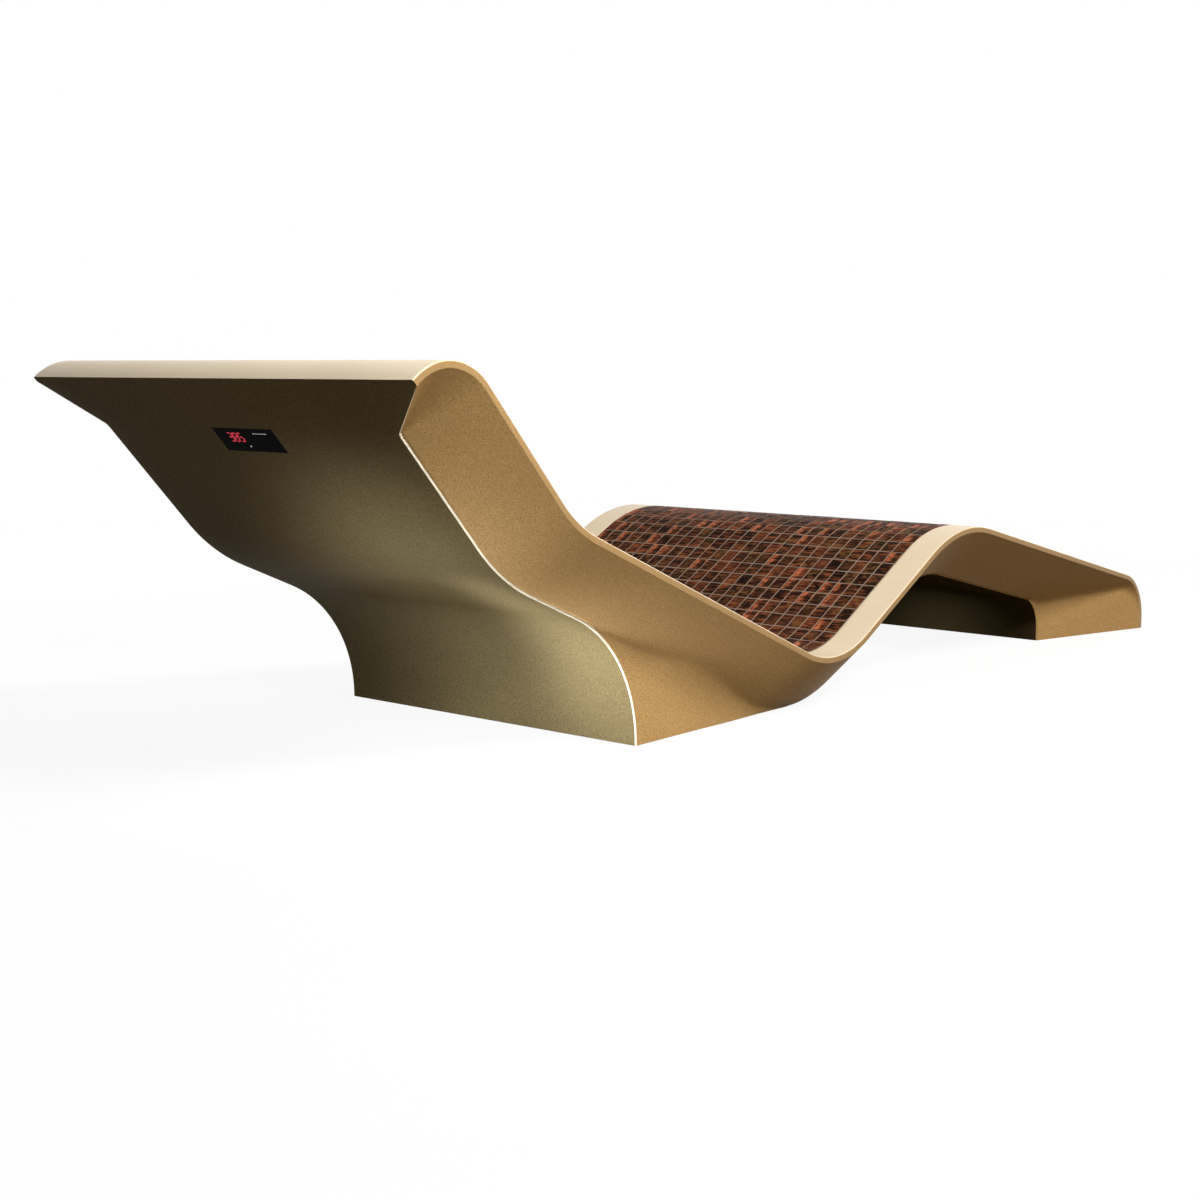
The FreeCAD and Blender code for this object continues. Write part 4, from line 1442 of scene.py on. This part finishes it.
@dataclass
class Studio:
    """Pale floor, even surroundings, soft lamps and the camera."""

    lens: float = 52.55
    sensor: float = 36.0
    camera_at: Triple = (-2.376, -1.7885, 0.527)
    yaw_deg: float = 40.0
    pitch_deg: float = 7.66
    floor_reach: float = 30.0
    floor_level: float = -0.0006
    floor_tones: tuple[Rgba, Rgba] = ((0.86, 0.86, 0.86, 1.0), (0.9, 0.9, 0.9, 1.0))
    floor_bounce: Rgba = (0.14, 0.102, 0.05, 1.0)
    floor_grain: float = 3.0
    floor_roughness: float = 0.9
    shadow_span: Pair = (1.3, 3.4)
    white_near: float = 0.91
    world_color: Rgba = (1.0, 0.92, 0.8, 1.0)
    world_strength: float = 0.05

    def white_ray(self, board: Board) -> Socket:
        """1 for rays that show the background: camera, gloss and glass.

        Args:
            board: the board that takes the nodes.

        Returns:
            The mask.
        """
        path = board.add("ShaderNodeLightPath").outputs
        seen = board.math("MAXIMUM", path["Is Camera Ray"], path["Is Glossy Ray"])
        return board.math("MAXIMUM", seen, path["Is Transmission Ray"])

    def floor(self) -> None:
        """Pale floor that keeps the lounger's shadow."""
        built = bmesh.new()
        corners = rectangle(self.floor_reach, self.floor_reach)
        built.faces.new([built.verts.new((x, y, self.floor_level)) for x, y in corners])
        floor = finish_mesh("studio_floor", built)
        material, board, shader = start_material("studio_floor")
        place = board.here()
        grain = board.band(board.noise(place, self.floor_grain), *NOISE_SPAN, 0.0, 1.0)
        seen = board.blend(grain, *self.floor_tones)
        bounce = board.add("ShaderNodeLightPath").outputs["Is Diffuse Ray"]
        base = board.blend(bounce, seen, self.floor_bounce)
        board.fill(shader, {"Base Color": base, "Roughness": self.floor_roughness})
        glow = board.add("ShaderNodeEmission", {"Color": WHITE, "Strength": 1.0})
        away = board.add("ShaderNodeVectorMath", {0: place}, operation="LENGTH").outputs["Value"]
        share = board.band(away, *self.shadow_span, self.white_near, 1.0)
        white = board.math("MULTIPLY", self.white_ray(board), share)
        surface = board.mixed(white, shader.outputs["BSDF"], glow.outputs["Emission"])
        board.fill(board.tree.nodes["Material Output"], {"Surface": surface})
        floor.data.materials.append(material)

    def world(self) -> None:
        """Even surroundings: white where seen, softer as light."""
        world = bpy.data.worlds.new("studio")
        bpy.context.scene.world = world
        world.use_nodes = True
        board = Board(world.node_tree)
        lit = world.node_tree.nodes["Background"]
        board.fill(lit, {"Color": self.world_color, "Strength": self.world_strength})
        seen = board.add("ShaderNodeBackground", {"Color": WHITE, "Strength": 1.0})
        lights = (node.outputs["Background"] for node in (lit, seen))
        surface = board.mixed(self.white_ray(board), *lights)
        board.fill(world.node_tree.nodes["World Output"], {"Surface": surface})

    def lamp(self, name: str, place: Triple, aim: Triple, size: float, power: float,
             color: Triple = WHITE[:3], spread_deg: float = 180.0, mirrored: bool = True) -> None:
        """Add a square soft lamp.

        Args:
            name: the lamp's name.
            place: where it is.
            aim: the point that it looks at.
            size: length of its edge.
            power: its watts.
            color: its light.
            spread_deg: how wide it shines.
            mirrored: whether glossy surfaces show it.
        """
        light = bpy.data.lights.new(name, "AREA")
        light.size = size
        light.energy = power
        light.color = color
        light.spread = math.radians(spread_deg)
        lamp = add_object(name, light)
        lamp.visible_camera = False
        lamp.visible_glossy = mirrored
        lamp.location = place
        lamp.rotation_euler = aimed(Vector(aim) - Vector(place))

    def lamps(self) -> None:
        """Wide lamps overhead, at the sides and the foot end; small ones at head, base and arch."""
        middle = (0.0, 0.0, 0.2)
        warm, pale, cool = (1.0, 0.97, 0.92), (0.95, 1.0, 1.04), (0.93, 1.0, 1.16)
        self.lamp("overhead", (0.4, 0.3, 3.2), middle, 2.6, 25.0)
        self.lamp("near_high", (0.0, -2.7, 2.8), middle, 1.0, 188.0, warm)
        self.lamp("head_side", (-1.62, -1.9, 1.16), (-0.78, -0.33, 0.38), 0.3, 1.6, pale, 40.0)
        self.lamp("far_side", (0.3, 3.1, 0.7), middle, 1.2, 38.0, mirrored=False)
        self.lamp("rear_low", (-1.35, -0.22, 0.2), (-0.6, -0.15, 0.11), 0.28, 1.1, cool, 54.0)
        self.lamp("base_low", (-0.95, -0.2, 0.17), (-0.56, -0.27, 0.13), 0.1, 0.55, cool, 48.0)
        self.lamp("arch_low", (0.25, -0.08, 0.03), (0.72, -0.08, -0.06), 0.05, 0.1, spread_deg=46.0)
        self.lamp("foot_end", (3.2, 0.4, 0.9), (0.9, 0.0, 0.2), 1.0, 12.0)

    def camera(self) -> None:
        """Camera at the photograph's place and angle."""
        data = bpy.data.cameras.new("photo_camera")
        data.lens = self.lens
        data.sensor_width = self.sensor
        camera = add_object("photo_camera", data)
        camera.location = self.camera_at
        yaw, pitch = math.radians(self.yaw_deg), math.radians(self.pitch_deg)
        way = (math.cos(yaw) * math.cos(pitch), math.sin(yaw) * math.cos(pitch), -math.sin(pitch))
        camera.rotation_euler = aimed(Vector(way))
        bpy.context.scene.camera = camera

    def build(self) -> None:
        """Build the studio."""
        bpy.context.scene.view_settings.view_transform = "Standard"
        self.floor()
        self.world()
        self.lamps()
        self.camera()


# Assembly


@dataclass
class Dresser:
    """Gives pieces their finishes and bodies."""

    shop: Shop = field(default_factory=Shop)
    made: dict[str, Material] = field(default_factory=dict)

    def dress(self, piece: Piece, finish: Finish, slot: str, *nodes: str,
              trims: tuple[Finish, ...] = ()) -> None:
        """Finish a new piece that stands for CAD nodes.

        Args:
            piece: the new piece.
            finish: its finish.
            slot: the record's material slot; not used.
            nodes: the CAD nodes that it replaces.
            trims: finishes of the faces marked as first and second trim.
        """
        for used in (finish, *trims):
            piece.data.materials.append(self.material(used))
        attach(piece, BODY)
        if nodes:
            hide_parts(*nodes)
        log.info("%s: %d faces", piece.name, len(piece.data.polygons))

    def keep(self, finish: Finish, *nodes: str) -> None:
        """Give CAD nodes a finish and keep their solids.

        Args:
            finish: the finish.
            nodes: the CAD nodes.
        """
        for node in nodes:
            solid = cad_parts[node]
            solid.data.materials.clear()
            solid.data.materials.append(self.material(finish))
            log.info("%s keeps its solid", node)

    def material(self, finish: Finish) -> Material:
        """The material of a finish, made once.

        Args:
            finish: the finish.

        Returns:
            The material.
        """
        if finish.name not in self.made:
            self.made[finish.name] = finish.material(self.shop)
        return self.made[finish.name]


# A paler cream copy of the gold coat for the shell's top: the top is painted lighter, as the light
# from above makes it look.
SHELL_CREAM_PAINTED_LIGHT = MetallicCoat("shell_cream_painted_light", rgba(196, 178, 150), rgba(212, 196, 170),
                           contrast=0.7, metallic=0.05, roughness=0.36, specular=0.15)
RIM_GOLD = MetallicCoat("rim_gold", rgba(132, 103, 64), rgba(158, 128, 84),
                        contrast=0.9, metallic=0.03, roughness=0.4, specular=0.2)
SIDE_GOLD = MetallicCoat("side_gold", rgba(133, 103, 63), rgba(193, 157, 104), grain=700.0,
                         contrast=2.0, metallic=0.0, roughness=0.5, specular=0.03)
# A darker, greener copy of the gold coat: the shade that falls on the back and on the shell's head
# end is painted into its colour.
BACK_PAINTED_SHADE = MetallicCoat("back_painted_shade", rgba(74, 63, 38), rgba(118, 103, 70),
                           contrast=1.4, metallic=0.05, roughness=0.4, specular=0.0,
                           coat=0.05, coat_roughness=0.35)
# Pale cream for the back sheet's rounded edges: a painted highlight, the bright line that light
# draws along the edge.
EDGE_PAINTED_HIGHLIGHT = MetallicCoat("edge_painted_highlight", rgba(236, 224, 196), rgba(252, 244, 224),
                         contrast=0.6, metallic=0.05, roughness=0.3)
# A near-black copy of the gold coat for the sheet under the arch: a dark sheet that paints in the
# deep shade there.
ARCH_PAINTED_SHADE = MetallicCoat("arch_painted_shade", rgba(50, 42, 27), rgba(72, 61, 40),
                           contrast=1.4, metallic=0.0, specular=0.0)
GROUT = PlainFinish("grout", rgba(130, 112, 98), 0.85,
                    grain=500.0, vary=0.18, bump=0.3, specular=0.1)
GLASS_BLACK = PlainFinish("display_glass", rgba(6, 6, 8), 0.08,
                          grain=20.0, vary=0.1, bump=0.0, specular=0.004)
RED_LIGHT = LitMark("red_digits", rgba(226, 30, 62))
WHITE_LIGHT = LitMark("white_marks", rgba(206, 206, 206), 0.5)
FLOOR_BOARD = PlainFinish("floor_board", rgba(48, 48, 50), 0.7, grain=260.0)
PLYWOOD = PlainFinish("plywood", rgba(196, 160, 112), 0.7, grain=40.0, vary=0.2,
                      stretch=(1.0, 1.0, 9.0))
FOAM = PlainFinish("rigid_foam", rgba(228, 216, 176), 0.9, grain=700.0, vary=0.1, bump=0.5)
STEEL = PlainFinish("drawn_steel", rgba(176, 178, 182), 0.36, 1.0, 180.0, 0.08,
                    stretch=(1.0, 0.05, 1.0))
BRASS = PlainFinish("nickel_brass", rgba(196, 182, 140), 0.3, 1.0)
ALUMINIUM = PlainFinish("folded_aluminium", rgba(196, 198, 202), 0.4, 1.0, 220.0, 0.06,
                        stretch=(0.05, 1.0, 1.0))
BLACK_PLASTIC = PlainFinish("black_plastic", rgba(30, 30, 32), 0.55)
RUBBER = PlainFinish("black_rubber", rgba(26, 26, 26), 0.85, grain=600.0, bump=0.3)
BOARD_GREEN = PlainFinish("circuit_board", rgba(24, 92, 54), 0.4, grain=240.0, vary=0.3)
HEAT_FILM = PlainFinish("heating_film", rgba(196, 128, 60), 0.45, grain=30.0, vary=0.2,
                        stretch=(9.0, 1.0, 9.0))
SENSOR_CASE = PlainFinish("sensor_case", rgba(222, 218, 206), 0.6)
IRON = PlainFinish("transformer_iron", rgba(70, 76, 88), 0.45, 0.4, 160.0)


def dress_outside(form: BodyForm, dresser: Dresser) -> None:
    """Build and dress the pieces that show.

    Args:
        form: sizes of the body.
        dresser: gives out the finishes.
    """
    # The shell's top takes the cream with its painted light; its head end takes the back sheet's
    # colour with its painted shade.
    dresser.dress(LyingShell(form).build(), SHELL_CREAM_PAINTED_LIGHT, "gold_gelcoat", "seat_shell",
                  trims=(RIM_GOLD, BACK_PAINTED_SHADE))
    for side in Side:
        node = f"side_skin_{side.name.lower()}"
        dresser.dress(SideSkin(form, side).build(), SIDE_GOLD, "gold_speckle", node)
    display = TouchDisplay(form)
    back = UnderSheet(form, "back_sheet", form.back, form.rim, window=display.window)
    # The back sheet's colour is painted shade, and its pale edges are a painted highlight.
    dresser.dress(back.build(), BACK_PAINTED_SHADE, "bronze_gelcoat", "back_cover", trims=(EDGE_PAINTED_HIGHLIGHT,))
    # The arch sheet's dark colour is painted shade; its edges take the side gold.
    arch = UnderSheet(form, "arch_sheet", form.arch)
    dresser.dress(arch.build(), ARCH_PAINTED_SHADE, "dark_gelcoat", "arch_cover", trims=(SIDE_GOLD,))
    mosaic = Mosaic(form)
    for name, tiles in mosaic.build().items():
        dresser.dress(tiles, MosaicGlaze(), "mosaic", name)
    dresser.dress(mosaic.grout(), GROUT, "grout", "tile_bed")
    dresser.dress(display.glass(), GLASS_BLACK, "black_panel", "display_glass")
    dresser.dress(display.digits(), RED_LIGHT, "black_panel")
    dresser.dress(display.level_marks(), WHITE_LIGHT, "black_panel")


def dress_inside(dresser: Dresser) -> None:
    """Finish the CAD nodes that stay.

    Args:
        dresser: gives out the finishes.
    """
    feet = [f"{end}_{side}" for end in ("rear", "toe") for side in ("left", "right")]
    dresser.keep(FLOOR_BOARD, "base_plate", "foot_plate", "service_hatch")
    dresser.keep(PLYWOOD, "rib_left", "rib_right")
    dresser.keep(FOAM, "core_back", "core_base", "core_leg", "core_foot")
    dresser.keep(HEAT_FILM, "heating_mat_back", "heating_mat_seat", "heating_mat_leg", "mat_links")
    dresser.keep(SENSOR_CASE, "temperature_sensor")
    dresser.keep(STEEL, "cross_tubes", "hatch_screws", "foot_sockets",
                 *[f"foot_stud_{foot}" for foot in feet])
    dresser.keep(BLACK_PLASTIC, "display_housing", "cable_gland", "terminal_block")
    dresser.keep(RUBBER, "display_gasket", "cable_grommet", "display_lead", "heater_lead",
                 *[f"foot_pad_{foot}" for foot in feet])
    dresser.keep(BOARD_GREEN, "display_board", "control_board")
    dresser.keep(ALUMINIUM, "control_tray", "control_lid")
    dresser.keep(IRON, "transformer")
    dresser.keep(BRASS, "gland_nut")


def main() -> None:
    """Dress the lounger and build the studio."""
    logging.basicConfig(level=logging.INFO, format="%(name)s %(message)s")
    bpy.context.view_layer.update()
    form = BodyForm()
    dresser = Dresser()
    dress_outside(form, dresser)
    dress_inside(dresser)
    Studio().build()


if __name__ == "__main__":
    main()
